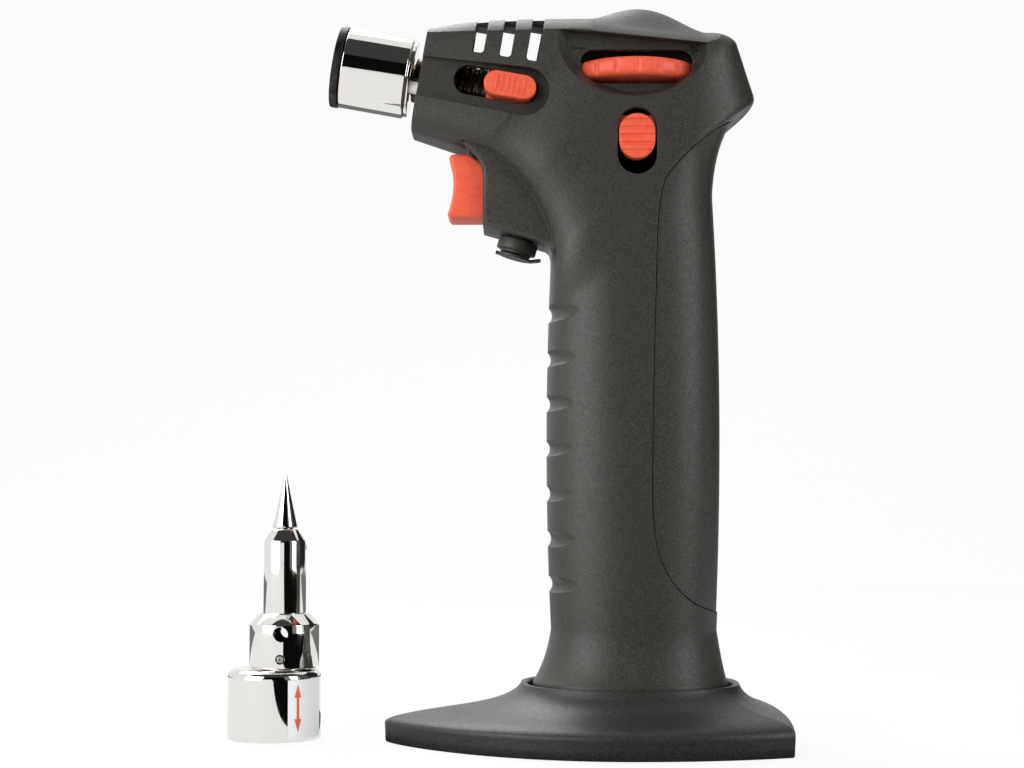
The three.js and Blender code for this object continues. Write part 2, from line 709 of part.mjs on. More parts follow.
function wheelSlot() {
  const low = WHEEL_Z - WHEEL_THICKNESS / 2 - WHEEL_SLOT_BOTTOM;
  const high = WHEEL_Z + WHEEL_THICKNESS / 2 + WHEEL_SLOT_TOP;
  const half = (high - low) / 2;
  const outer = WHEEL_RADIUS + WHEEL_SLOT_RADIAL;
  const profile = [[0, low]];
  for (let i = 0; i <= 4; i += 1) {
    const angle = mix(-QUARTER, QUARTER, i / 4);
    profile.push([outer - half + half * Math.cos(angle), (low + high) / 2 + half * Math.sin(angle)]);
  }
  profile.push([0, high]);
  return turned(profile, 32).translate(WHEEL_X, 0, 0);
}

// Channel and slot of the air slider, in the burner's frame
function channelShape(grow) {
  const shape = new THREE.Shape();
  const middle = (CHANNEL_LOW + CHANNEL_HIGH) / 2;
  const before = -4;
  shape.moveTo(before, CHANNEL_LOW - grow);
  shape.lineTo(CHANNEL_END, middle - CHANNEL_END_RADIUS - grow);
  shape.absarc(CHANNEL_END, middle, CHANNEL_END_RADIUS + grow, -QUARTER, QUARTER);
  shape.lineTo(before, CHANNEL_HIGH + grow);
  return shape;
}

const channelCut = () => across(channelShape(0), -2 * HEAD_HALF_WIDTH, -CHANNEL_FLOOR);
const channelPan = () => across(channelShape(PAN_WALL), -2 * HEAD_HALF_WIDTH, PAN_WALL - CHANNEL_FLOOR);
const airSlot = () => across(
  stadium(airSlotFront, AIR_SLOT_BACK, 0, AIR_SLOT_HALF_HEIGHT), -2 * HEAD_HALF_WIDTH, -sleeveOuter);

function vents() {
  return Array.from({ length: VENT_COUNT }, (_, i) => {
    const middle = VENT_FIRST + i * VENT_PITCH;
    const slot = box([middle - VENT_WIDTH / 2, VENT_SPINE, VENT_LOW],
      [middle + VENT_WIDTH / 2, 2 * HEAD_HALF_WIDTH, VENT_HIGH]);
    return join(inBurner(slot), inBurner(mirrored(slot)));
  });
}

// Finger grooves across the front of the grip
function grooves() {
  const sweep = GROOVE_SWEEP + GROOVE_ROUND;
  return Array.from({ length: GROOVE_COUNT }, (_, i) => {
    const z = GROOVE_LOWEST + i * GROOVE_PITCH;
    const middle = -gripHalfLength(z) + GROOVE_DEPTH + GROOVE_SWEEP;
    const points = [-50, -25, 0, 25, 50].map((angle) => [
      middle - sweep * Math.cos(radians(angle)), sweep * Math.sin(radians(angle)), z]);
    return solidOf(wire(points, GROOVE_ROUND, 6, 4));
  });
}

// Bosses and holes of the housing screws
const screwBoss = ([x, z]) => solidOf(
  turnedY(rod(SCREW_BOSS_RADIUS, -2 * HEAD_HALF_WIDTH, 2 * HEAD_HALF_WIDTH), 8).translate(x, 0, z));

function screwHole([x, z, seat]) {
  const shank = SCREW_RADIUS + FIT;
  const head = SCREW_HEAD_RADIUS + FIT;
  return solidOf(turnedY([[0, -SCREW_BITE - FIT], [shank, -SCREW_BITE - FIT], [shank, seat],
    [head, seat], [head, 2 * HEAD_HALF_WIDTH], [0, 2 * HEAD_HALF_WIDTH]], 10).translate(x, 0, z));
}

// Casing halves and the tank cover
function lockSlot() {
  const low = LOCK_Z - LOCK_HALF_HEIGHT - LOCK_TRAVEL - LOCK_SIDE_GAP;
  const high = LOCK_Z + LOCK_HALF_HEIGHT + LOCK_TOP_GAP;
  const shape = uprightStadium(LOCK_X, LOCK_HALF_WIDTH + LOCK_SIDE_GAP, low, high);
  return across(shape, -2 * HEAD_HALF_WIDTH, -HEAD_HALF_WIDTH / 2);
}

function triggerWell() {
  const half = TRIGGER_HALF_WIDTH + RUNNING_FIT;
  return box([TRIGGER_FRONT_X - 1, -half, TRIGGER_BOTTOM - RUNNING_FIT],
    [TRIGGER_BACK_X + TRIGGER_TRAVEL + 1, half, TRIGGER_TOP + 2 * RUNNING_FIT]);
}

function innerRibs(form) {
  const far = 2 * HEAD_HALF_WIDTH;
  const saddleMiddle = mixerBack - SADDLE_THICKNESS;
  const saddle = cut(
    inBurner(box([saddleMiddle - SADDLE_THICKNESS / 2, -far, -7], [saddleMiddle + SADDLE_THICKNESS / 2, far, 7])),
    inBurner(turnedX(rod(MIXER_RADIUS + FIT, -1, AIR_SLOT_BACK * 2), 24)));
  const piezoRib = cut(
    solidOf(box([-13, -far, PIEZO_Z - PIEZO_HALF_HEIGHT], [-11, far, PIEZO_Z + PIEZO_HALF_HEIGHT])),
    solidOf(box([-14, -PIEZO_HALF_WIDTH - FIT, PIEZO_Z - far], [-10, PIEZO_HALF_WIDTH + FIT, PIEZO_Z + far])));
  const valveRib = solidOf(box([WHEEL_X + 2, VALVE_HALF_WIDTH + FIT, valveBottom + 1],
    [WHEEL_X + 4, far, valveTop - 1]));
  const leverBoss = solidOf(turnedY(pipe(LEVER_PIN_RADIUS + FIT, LEVER_BOSS_RADIUS,
    TRIGGER_ARM_Y + TRIGGER_ARM_WIDTH + 2 * FIT, far), 16).translate(LEVER_PIVOT[0], 0, LEVER_PIVOT[1]));
  return join(saddle, piezoRib, valveRib, leverBoss, ...SCREW_SPOTS.map(screwBoss)).intersect(form);
}

function casingShell() {
  const form = join(casingForm(0, CASING_FACETS),
    solidOf(across(blockShape(0), -BLOCK_HALF_WIDTH, BLOCK_HALF_WIDTH, BLOCK_ROUND)));
  const hollow = join(casingForm(WALL, HOLLOW_FACETS),
    solidOf(across(blockShape(BLOCK_WALL), BLOCK_WALL - BLOCK_HALF_WIDTH, BLOCK_HALF_WIDTH - BLOCK_WALL)));
  const moonPan = across(moonShape(PAN_WALL), -2 * HEAD_HALF_WIDTH, PAN_WALL - MOON_FLOOR);
  const pans = join(solidOf(moonPan), solidOf(mirrored(moonPan)), inBurner(channelPan())).intersect(form);
  const core = join(cut(form, hollow), pans, innerRibs(form));
  const front = [
    inBurner(turnedX(rod(COLLAR_RADIUS + FIT, -3, 2 * WALL), 24)),
    inBurner(turnedX(rod(INSULATOR_RADIUS + FIT, -3, 2 * WALL), 12)
      .translate(0, INSULATOR_SIDE, INSULATOR_DROP)),
  ];
  const sides = [solidOf(moonCut()), solidOf(mirrored(moonCut())), solidOf(wheelSlot()),
    inBurner(channelCut()), inBurner(airSlot()), solidOf(lockSlot())];
  const filler = inFiller(turned(rod(FILLER_NECK + FIT, -2, 2 * WALL), 20));
  return cut(core, ...front, ...sides, ...vents(), ...grooves(), filler, solidOf(triggerWell()),
    ...SCREW_SPOTS.map(screwHole));
}

function buildCasing(parent) {
  const shell = casingShell().subtract(coverTool(FIT));
  const far = 4 * HEAD_HALF_WIDTH;
  const nearHalf = solidOf(box([-far * 2, -far, -far], [far, 0, far * 4]));
  const farHalf = solidOf(box([-far * 2, 0, -far], [far, far, far * 4]));
  piece(parent, 'left_housing', shell.intersect(nearHalf), blackPlastic);
  piece(parent, 'right_housing', shell.intersect(farHalf), blackPlastic);
  const cover = casingForm(COVER_STEP, CASING_FACETS).subtract(casingForm(WALL, HOLLOW_FACETS)).intersect(coverTool(0));
  piece(parent, 'tank_cover', cover, blackPlastic);
  SCREW_SPOTS.forEach(([x, z, seat], i) => {
    const head = seat + FIT;
    const screw = turnedY([[0, -SCREW_BITE], [SCREW_RADIUS, -SCREW_BITE], [SCREW_RADIUS, head],
      [SCREW_HEAD_RADIUS, head], [SCREW_HEAD_RADIUS, head + SCREW_HEAD_HEIGHT],
      [0, head + SCREW_HEAD_HEIGHT]], 10);
    piece(parent, `housing_screw_${i + 1}`, screw, steel).position.set(x, 0, z);
  });
}

// Stand: loops from the plan outline to the oval collar, then down into the socket
function standOutline(angle, inset) {
  const [c, s] = [Math.cos(angle), Math.sin(angle)];
  const half = STAND_HALF_WIDTH - inset;
  const across = Math.abs(c);
  if (s < 0) {
    const reach = STAND_FRONT + STAND_WIDEST_X - inset;
    return new THREE.Vector2(STAND_WIDEST_X + reach * s, Math.sign(c) * half * Math.pow(across, 1.6));
  }
  const reach = STAND_BACK - STAND_WIDEST_X - inset;
  const along = STAND_WIDEST_X + reach * Math.pow(s, 0.9);
  return new THREE.Vector2(along, Math.sign(c) * half * Math.pow(across, 0.4));
}

const socketOval = (angle, grow) => {
  const power = 2 / 2.3;
  const [c, s] = [Math.cos(angle), Math.sin(angle)];
  const length = FOOT_HALF_LENGTH + COLLAR_GAP + grow;
  const width = FOOT_HALF_WIDTH + COLLAR_GAP + grow;
  return new THREE.Vector2(Math.sign(s) * length * Math.pow(Math.abs(s), power),
    Math.sign(c) * width * Math.pow(Math.abs(c), power));
};

const STAND_AROUND = 28;

function standLoop(share, inset, z) {
  return Array.from({ length: STAND_AROUND }, (_, i) => {
    const angle = (TURN * i) / STAND_AROUND;
    const spot = standOutline(angle, inset).lerp(socketOval(angle, COLLAR_LIP - inset), share);
    return new THREE.Vector3(spot.x, spot.y, z);
  });
}

function socketLoop(grow, z) {
  return Array.from({ length: STAND_AROUND }, (_, i) => {
    const spot = socketOval((TURN * i) / STAND_AROUND, grow);
    return new THREE.Vector3(spot.x, spot.y, z);
  });
}

function standShell() {
  const rise = new THREE.CubicBezierCurve(new THREE.Vector2(0, 0), new THREE.Vector2(0.12, 0.5),
    new THREE.Vector2(0.85, 0.4), new THREE.Vector2(1, 1));
  const top = (share) => {
    const { x, y } = rise.getPoint(share);
    return standLoop(x, 0, mix(STAND_RIM, COLLAR_HEIGHT, y));
  };
  const under = (share) => {
    const { x, y } = rise.getPoint(share);
    return standLoop(x, WALL, Math.max(socketUnderside, mix(STAND_RIM, COLLAR_HEIGHT, y) - WALL));
  };
  const shares = [0.2, 0.45, 0.7, 0.88, 1];
  const inner = [0.75, 0.4, 0];
  return solidOf(skin([
    socketLoop(-1, socketFloor), socketLoop(0, socketFloor), socketLoop(0, COLLAR_HEIGHT - 0.4),
    socketLoop(0.4, COLLAR_HEIGHT), ...shares.toReversed().map(top),
    standLoop(0, 0, STAND_RIM), standLoop(0, 0.2, STAND_TOE), standLoop(0, WALL, STAND_TOE),
    ...inner.toReversed().map(under),
    socketLoop(COLLAR_LIP, mix(STAND_RIM, COLLAR_HEIGHT, 0.4)), socketLoop(COLLAR_LIP, socketUnderside),
  ]));
}

function ballastOutline(inset) {
  const points = standLoop(0, inset, 0).map((p) => new THREE.Vector2(p.x, p.y));
  return new THREE.Shape(points);
}

const sheet = (shape, low, high) => new THREE.ExtrudeGeometry(shape, {
  depth: high - low, bevelEnabled: false }).translate(0, 0, low);

function buildStand(parent) {
  const boss = turned(rod(BALLAST_BOSS_RADIUS, socketUnderside, STAND_RIM + 1.8), 16);
  const hole = turned(rod(BALLAST_SCREW_RADIUS + FIT, 0, ballastTop + BALLAST_SCREW_LENGTH), 12);
  const headHole = turned(rod(BALLAST_HEAD_RADIUS + FIT, 0, ballastBottom + BALLAST_HEAD_HEIGHT + FIT), 16);
  let shell = standShell();
  let plate = solidOf(sheet(ballastOutline(WALL + FIT), ballastBottom, ballastTop));
  BALLAST_SCREW_SPOTS.forEach(([x, y]) => {
    shell = shell.add(solidOf(boss.clone().translate(x, y, 0)));
    shell = shell.subtract(solidOf(hole.clone().translate(x, y, 0)));
    plate = cut(plate, solidOf(hole.clone().translate(x, y, 0)), solidOf(headHole.clone().translate(x, y, 0)));
  });
  piece(parent, 'stand_shell', shell, standPlastic);
  piece(parent, 'ballast_plate', plate, steel);
  piece(parent, 'stand_pad', sheet(ballastOutline(WALL + 2 * FIT), 0, PAD_THICKNESS), rubber);
  const headTop = ballastBottom + BALLAST_HEAD_HEIGHT;
  const screw = turned([[0, ballastBottom], [BALLAST_HEAD_RADIUS, ballastBottom],
    [BALLAST_HEAD_RADIUS, headTop], [BALLAST_SCREW_RADIUS, headTop],
    [BALLAST_SCREW_RADIUS, ballastTop + BALLAST_SCREW_LENGTH - 2 * FIT - BALLAST_HEAD_HEIGHT],
    [0, ballastTop + BALLAST_SCREW_LENGTH - 2 * FIT - BALLAST_HEAD_HEIGHT]], 12);
  BALLAST_SCREW_SPOTS.forEach(([x, y], i) => {
    piece(parent, `ballast_screw_${i + 1}`, screw, steel).position.set(x, y, 0);
  });
}

// Burner, in its own frame: X runs back along the axis from the head's face
function buildBurner(parent) {
  const ringBack = tubeFront - FIT;
  const skirtOuter = TUBE_RADIUS - TUBE_WALL - FIT;
  const skirtInner = skirtOuter - 0.6;
  piece(parent, 'mouth_ring', turnedX([[RING_RADIUS - RING_LIP, ringBack - RING_LENGTH],
    [RING_RADIUS, ringBack - RING_LENGTH], [RING_RADIUS, ringBack], [skirtOuter, ringBack],
    [skirtOuter, ringBack + RING_SKIRT], [skirtInner, ringBack + RING_SKIRT]], 32), stainedSteel);
  const web = turnedX([[TUBE_RADIUS - TUBE_WALL, tubeFront], [TUBE_RADIUS, tubeFront],
    [TUBE_RADIUS, tubeRear], [SPIGOT_RADIUS + FIT, tubeRear], [SPIGOT_RADIUS + FIT, webFront],
    [TUBE_RADIUS - TUBE_WALL, webFront]], 32);
  const electrodeHole = turnedX(rod(INSULATOR_RADIUS + FIT, webFront - 1, tubeRear + 1), 12)
    .translate(0, INSULATOR_SIDE, INSULATOR_DROP);
  piece(parent, 'flame_tube', cut(solidOf(web), solidOf(electrodeHole)), chrome);
  const shoulder = webFront - FIT;
  const nozzleFront = webFront - NOZZLE_LENGTH;
  piece(parent, 'burner_nozzle', turnedX([[NOZZLE_MOUTH, nozzleFront], [NOZZLE_RADIUS, nozzleFront],
    [NOZZLE_RADIUS, shoulder], [SPIGOT_RADIUS, shoulder], [SPIGOT_RADIUS, collarBack - FIT],
    [NOZZLE_BORE, collarBack - FIT], [NOZZLE_BORE, nozzleFront + NOZZLE_MOUTH_DEPTH],
    [NOZZLE_MOUTH, nozzleFront + NOZZLE_MOUTH_DEPTH]], 16), brass);
  const screenShape = new THREE.Shape();
  screenShape.absarc(0, 0, NOZZLE_MOUTH - FIT, 0, TURN);
  for (let i = 0; i < 7; i += 1) {
    const spread = i === 6 ? 0 : NOZZLE_MOUTH * 0.5;
    const hole = new THREE.Path();
    hole.absarc(spread * Math.cos((TURN * i) / 6), spread * Math.sin((TURN * i) / 6), SCREEN_HOLE, 0, TURN, true);
    screenShape.holes.push(hole);
  }
  const screenBack = nozzleFront + NOZZLE_MOUTH_DEPTH - FIT;
  piece(parent, 'flame_screen', new THREE.ExtrudeGeometry(screenShape, {
    depth: SCREEN_THICKNESS, bevelEnabled: false, curveSegments: 3 })
    .rotateY(QUARTER).translate(screenBack - SCREEN_THICKNESS, 0, 0), steel);
  piece(parent, 'burner_collar', turnedX(
    pipe(SPIGOT_RADIUS + FIT, COLLAR_RADIUS, collarFront, collarBack), 16), darkMetal);
  piece(parent, 'electrode_insulator', turnedX(
    pipe(ELECTRODE_RADIUS + FIT, INSULATOR_RADIUS, insulatorFront, insulatorBack), 12), ceramic)
    .position.set(0, INSULATOR_SIDE, INSULATOR_DROP);
  const inwards = 0.78;
  piece(parent, 'electrode', wire([[insulatorBack, INSULATOR_SIDE, INSULATOR_DROP],
    [insulatorFront, INSULATOR_SIDE, INSULATOR_DROP],
    [nozzleFront + 2.5, INSULATOR_SIDE, INSULATOR_DROP],
    [nozzleFront - 0.8, INSULATOR_SIDE * inwards, INSULATOR_DROP * inwards]], ELECTRODE_RADIUS, 6, 12), steel);
  piece(parent, 'mixing_tube', mixingTube(), darkMetal);
  const jetFront = mixerBack + FIT;
  const valveFace = (WHEEL_X - VALVE_HALF_LENGTH - HEAD_FACE_X) / Math.cos(BURNER_TILT);
  piece(parent, 'gas_jet', turnedX([[JET_BORE, jetFront], [JET_RADIUS, jetFront],
    [JET_RADIUS, valveFace - 2], [JET_TAIL_RADIUS, valveFace - 2], [JET_TAIL_RADIUS, valveFace + 3],
    [JET_BORE, valveFace + 3]], 12), brass);
}

function mixingTube() {
  const profile = [[MIXER_BORE, mixerFront], [MIXER_RADIUS, mixerFront]];
  for (let i = 0; i < MIXER_GROOVES; i += 1) {
    const start = airSlotFront + i * MIXER_GROOVE_PITCH;
    const inner = MIXER_RADIUS - MIXER_GROOVE_DEPTH;
    profile.push([MIXER_RADIUS, start], [inner, start + 0.3]);
    profile.push([inner, start + 0.9], [MIXER_RADIUS, start + 1.2]);
  }
  profile.push([MIXER_RADIUS, mixerBack], [MIXER_BORE, mixerBack]);
  return turnedX(profile, 12);
}

// Air slider: a knob in the slot, riding on a sleeve round the mixing tube
function buildAirSlider(parent) {
  const front = knobMiddle - SLEEVE_LENGTH / 2;
  piece(parent, 'air_sleeve', turnedX(
    pipe(sleeveInner, sleeveOuter, front, front + SLEEVE_LENGTH), 20), steel);
  const shape = stadium(knobMiddle - KNOB_LENGTH / 2, knobMiddle + KNOB_LENGTH / 2, 0, KNOB_HALF_HEIGHT);
  const seat = sleeveOuter + FIT;
  const shoeTop = CHANNEL_FLOOR - PAN_WALL - FIT;
  const shoe = box([knobMiddle - SLEEVE_LENGTH / 2, -shoeTop, -AIR_SLOT_HALF_HEIGHT - 1],
    [knobMiddle + SLEEVE_LENGTH / 2, -sleeveInner, AIR_SLOT_HALF_HEIGHT + 1]);
  const ribs = Array.from({ length: KNOB_RIBS }, (_, i) => {
    const slant = radians(25);
    const groove = new THREE.BoxGeometry(0.7, 2 * KNOB_RIB_DEPTH, 4 * KNOB_HALF_HEIGHT).rotateY(slant);
    return solidOf(groove.translate(knobMiddle + (i - (KNOB_RIBS - 1) / 2) * 1.6, -KNOB_FACE, 0));
  });
  const stem = solidOf(across(shape, -KNOB_FACE, -sleeveInner, 0.5));
  const bed = solidOf(turnedX(rod(seat, 0, 2 * AIR_SLOT_BACK), 32));
  piece(parent, 'air_knob', cut(join(stem, solidOf(shoe)), bed, ...ribs), orangePlastic);
}

// Flow wheel, spindle and valve
function buildFlowControl(parent) {
  const rim = new THREE.Shape();
  for (let i = 0; i < WHEEL_NOTCHES; i += 1) {
    const start = (TURN * i) / WHEEL_NOTCHES;
    const step = TURN / WHEEL_NOTCHES;
    [[0, -WHEEL_NOTCH_DEPTH], [0.12, 0], [0.5, 0], [0.88, 0]].forEach(([share, depth]) => {
      const angle = start + share * step;
      const radius = WHEEL_RADIUS + depth;
      const [x, y] = [radius * Math.cos(angle), radius * Math.sin(angle)];
      if (i === 0 && share === 0) rim.moveTo(x, y);
      else rim.lineTo(x, y);
    });
  }
  const bore = new THREE.Path();
  bore.absarc(0, 0, SPINDLE_RADIUS + FIT, 0, TURN, true);
  const wheelShape = new THREE.ExtrudeGeometry(rim, {
    depth: WHEEL_THICKNESS - 2 * WHEEL_ROUND, bevelThickness: WHEEL_ROUND, bevelSize: WHEEL_ROUND,
    bevelOffset: -WHEEL_ROUND, bevelSegments: 1 });
  const low = WHEEL_Z - WHEEL_THICKNESS / 2;
  const wheel = solidOf(wheelShape.translate(0, 0, low + WHEEL_ROUND));
  const hole = solidOf(turned(rod(SPINDLE_RADIUS + FIT, low - 1, low + WHEEL_THICKNESS + 1), 16));
  piece(parent, 'flow_wheel', cut(wheel, hole), orangePlastic).position.set(WHEEL_X, 0, 0);
  const headLow = low + WHEEL_THICKNESS + FIT;
  const needle = valveTop - VALVE_HEIGHT * 0.6;
  piece(parent, 'regulator_spindle', turned([[0, needle], [0.4, needle], [SPINDLE_RADIUS, needle + NEEDLE_LENGTH],
    [SPINDLE_RADIUS, headLow], [SPINDLE_HEAD_RADIUS, headLow],
    [SPINDLE_HEAD_RADIUS, headLow + SPINDLE_HEAD_HEIGHT], [0, headLow + SPINDLE_HEAD_HEIGHT]], 12), brass)
    .position.set(WHEEL_X, 0, 0);
  const block = solidOf(box([WHEEL_X - VALVE_HALF_LENGTH, -VALVE_HALF_WIDTH, valveBottom],
    [WHEEL_X + VALVE_HALF_LENGTH, VALVE_HALF_WIDTH, valveTop]));
  const gland = solidOf(turned(rod(GLAND_RADIUS, valveTop - 1, valveTop + GLAND_HEIGHT), 6)
    .translate(WHEEL_X, 0, 0));
  const spindleBore = solidOf(turned(rod(SPINDLE_RADIUS + FIT, needle - FIT, WHEEL_Z), 16)
    .translate(WHEEL_X, 0, 0));
  const jetBore = inBurner(turnedX(rod(JET_TAIL_RADIUS + FIT, 30, (WHEEL_X - VALVE_HALF_LENGTH - HEAD_FACE_X)
    / Math.cos(BURNER_TILT) + 3 + FIT), 16));
  piece(parent, 'valve_body', cut(join(block, gland), spindleBore, jetBore), brass);
}

// Tank, filler and gas line
function buildGasLine(parent) {
  const far = 4 * HEAD_HALF_WIDTH;
  const outer = casingForm(WALL + FIT, HOLLOW_FACETS).intersect(
    solidOf(box([-far, -far, TANK_BOTTOM], [far, far, TANK_TOP])));
  const inner = casingForm(WALL + FIT + TANK_WALL, HOLLOW_FACETS).intersect(
    solidOf(box([-far, -far, TANK_BOTTOM + TANK_WALL], [far, far, TANK_TOP - TANK_WALL])));
  const port = (x, radius) => solidOf(turned(rod(radius, TANK_TOP - 2 * TANK_WALL, TANK_TOP + 1), 12)
    .translate(x, 0, 0));
  piece(parent, 'fuel_tank', cut(outer, inner, port(FILLER_TUBE_X, FILLER_TUBE_RADIUS + FIT),
    port(OUTLET_X, NIPPLE_RADIUS + FIT)), smokedPlastic);
  const base = TANK_TOP + FIT;
  const nippleTop = base + OUTLET_HEIGHT + NIPPLE_HEIGHT;
  piece(parent, 'tank_outlet', turned([[0, TANK_TOP - SPIGOT_DEPTH], [NIPPLE_RADIUS, TANK_TOP - SPIGOT_DEPTH],
    [NIPPLE_RADIUS, base], [OUTLET_RADIUS, base], [OUTLET_RADIUS, base + OUTLET_HEIGHT],
    [NIPPLE_RADIUS, base + OUTLET_HEIGHT], [NIPPLE_RADIUS, nippleTop], [0, nippleTop]], 12), brass)
    .position.set(OUTLET_X, 0, 0);
  const hoseTop = valveBottom - FIT;
  piece(parent, 'gas_hose', wire([[OUTLET_X, 0, nippleTop + FIT], [OUTLET_X, 0, nippleTop + 4],
    [OUTLET_X, 0, mix(nippleTop, hoseTop, 0.55)], [mix(OUTLET_X, HOSE_TOP_X, 0.5), 0, hoseTop - 5],
    [HOSE_TOP_X, 0, hoseTop - 2], [HOSE_TOP_X, 0, hoseTop]], HOSE_RADIUS, 8, 10), rubber);
  const start = new THREE.Vector3(FILLER_VALVE_RADIUS + FIT, 0, 3.2).applyMatrix4(fillerFrame.matrix);
  piece(parent, 'filler_tube', wire([start.toArray(), [start.x + 2.2, 0, start.z - 0.2],
    [FILLER_TUBE_X - 2.5, 0, start.z - 2], [FILLER_TUBE_X, 0, start.z - 5.5],
    [FILLER_TUBE_X, 0, TANK_TOP - TANK_WALL - 1]], FILLER_TUBE_RADIUS, 6, 10), steel);
}

// Filler, in a frame square to the sloping underside of the trigger block
function buildFiller(parent) {
  piece(parent, 'filler_bush', turned([[FILLER_VALVE_RADIUS + FIT, -FIT - FILLER_HEIGHT],
    [FILLER_RADIUS, -FIT - FILLER_HEIGHT], [FILLER_RADIUS, -FIT], [FILLER_NECK, -FIT],
    [FILLER_NECK, FILLER_NECK_LENGTH], [FILLER_VALVE_RADIUS + FIT, FILLER_NECK_LENGTH]], 16), blackPlastic);
  const low = -FILLER_HEIGHT;
  piece(parent, 'filler_valve', turned(pipe(FILLER_VALVE_BORE, FILLER_VALVE_RADIUS,
    low, low + FILLER_VALVE_LENGTH), 12), brass);
  const lidTop = -FIT - FILLER_HEIGHT - FIT;
  const disc = solidOf(turned(rod(LID_RADIUS, lidTop - LID_THICKNESS, lidTop), 24));
  const tongue = solidOf(box([0, -LID_TONGUE, lidTop - LID_THICKNESS], [LID_HINGE + 0.4, LID_TONGUE, lidTop]));
  const lip = solidOf(box([-LID_RADIUS - LID_LIP, -LID_TONGUE, lidTop - LID_THICKNESS], [0, LID_TONGUE, lidTop]));
  piece(parent, 'filler_cap', join(disc, tongue, lip), blackPlastic);
}

// Trigger with its arm
function triggerShape() {
  const shape = new THREE.Shape();
  const middle = (TRIGGER_TOP + TRIGGER_BOTTOM) / 2;
  const backTop = TRIGGER_ARM_Z - 0.7;
  shape.moveTo(TRIGGER_FRONT_X + 0.6, TRIGGER_BOTTOM);
  shape.lineTo(TRIGGER_BACK_X, TRIGGER_BOTTOM);
  shape.lineTo(TRIGGER_BACK_X, backTop);
  shape.lineTo(BLOCK_FRONT_X, TRIGGER_ARM_Z + 0.8);
  shape.quadraticCurveTo(BLOCK_FRONT_X - 2.5, TRIGGER_TOP, TRIGGER_FRONT_X + 2.5, TRIGGER_TOP);
  shape.lineTo(TRIGGER_FRONT_X + 1.2, TRIGGER_TOP);
  shape.lineTo(TRIGGER_FRONT_X + 0.3, TRIGGER_TOP - 0.9);
  shape.quadraticCurveTo(TRIGGER_FRONT_X + 2 * TRIGGER_HOLLOW, middle, TRIGGER_FRONT_X, TRIGGER_BOTTOM + 0.8);
  return shape;
}

function helix(xFrom, xTo) {
  const steps = SPRING_TURNS * 8;
  return Array.from({ length: steps + 1 }, (_, i) => {
    const angle = (TURN * SPRING_TURNS * i) / steps;
    return [mix(xFrom, xTo, i / steps), SPRING_RADIUS * Math.cos(angle), PIEZO_Z + SPRING_RADIUS * Math.sin(angle)];
  });
}

// Least clearance between points of the wire that lie more than half a turn apart.
function leastGap(coil) {
  const points = coil.map((p) => new THREE.Vector3(...p));
  const gaps = points.flatMap((p, i) => points.slice(i + 5).map((q) => p.distanceTo(q)));
  return Math.min(...gaps) - 2 * SPRING_WIRE;
}

function buildTrigger(parent) {
  const body = solidOf(across(triggerShape(), -TRIGGER_HALF_WIDTH, TRIGGER_HALF_WIDTH, TRIGGER_ROUND));
  const arm = solidOf(box([BLOCK_FRONT_X - 1, TRIGGER_ARM_Y, TRIGGER_ARM_Z],
    [TRIGGER_ARM_END_X, TRIGGER_ARM_Y + TRIGGER_ARM_WIDTH, TRIGGER_ARM_Z + TRIGGER_ARM_HEIGHT]));
  piece(parent, 'trigger', join(body, arm), orangePlastic);
  const plungerFront = TRIGGER_BACK_X + FIT;
  const plungerBack = PIEZO_FRONT_X + 2;
  const bottom = plungerBack + TRIGGER_TRAVEL + PLUNGER_SPARE;
  piece(parent, 'piezo_plunger', turnedX(rod(PLUNGER_RADIUS, plungerFront, plungerBack), 12), steel)
    .position.set(0, 0, PIEZO_Z);
  const igniter = solidOf(box([PIEZO_FRONT_X, -PIEZO_HALF_WIDTH, PIEZO_Z - PIEZO_HALF_HEIGHT],
    [PIEZO_FRONT_X + PIEZO_LENGTH, PIEZO_HALF_WIDTH, PIEZO_Z + PIEZO_HALF_HEIGHT]));
  const bore = solidOf(turnedX(rod(PLUNGER_RADIUS + FIT, PIEZO_FRONT_X - 1, bottom), 12).translate(0, 0, PIEZO_Z));
  piece(parent, 'piezo_igniter', cut(igniter, bore), smokedPlastic);
  const springEnd = SPRING_WIRE + FIT;
  const coil = helix(TRIGGER_BACK_X + springEnd, PIEZO_FRONT_X - springEnd);
  piece(parent, 'trigger_spring', wire(coil, SPRING_WIRE, 5, SPRING_TURNS * 8), steel);
  console.log(`trigger_spring: least gap between turns ${leastGap(coil).toFixed(2)} mm`);
}

// Gas lever: a bell crank on a pin, pushed by the trigger's arm
function leverShape() {
  const bar = ([x0, z0], [x1, z1], half) => {
    const along = new THREE.Vector2(x1 - x0, z1 - z0);
    const angle = along.angle();
    const shape = new THREE.Shape();
    shape.absarc(x1, z1, half, angle - QUARTER, angle + QUARTER);
    shape.absarc(x0, z0, half, angle + QUARTER, angle + QUARTER + HALF_TURN);
    return shape;
  };
  const low = TRIGGER_ARM_Y;
  const high = TRIGGER_ARM_Y + TRIGGER_ARM_WIDTH;
  const hub = turnedY(rod(LEVER_HUB, low, high), 16).translate(LEVER_PIVOT[0], 0, LEVER_PIVOT[1]);
  const hole = turnedY(rod(LEVER_PIN_RADIUS + FIT, low - 1, high + 1), 16)
    .translate(LEVER_PIVOT[0], 0, LEVER_PIVOT[1]);
  return cut(join(solidOf(hub), solidOf(across(bar(LEVER_PIVOT, LEVER_TIP, LEVER_TIP_RADIUS), low, high)),
    solidOf(across(bar(LEVER_PIVOT, LEVER_END, LEVER_HALF_WIDTH), low, high))), solidOf(hole));
}

function buildLever(parent) {
  piece(parent, 'gas_lever', leverShape(), steel);
  const low = TRIGGER_ARM_Y - 1;
  piece(parent, 'lever_pin', turnedY(rod(LEVER_PIN_RADIUS, low, HEAD_HALF_WIDTH - WALL - 1), 12), steel)
    .position.set(LEVER_PIVOT[0], 0, LEVER_PIVOT[1]);
}

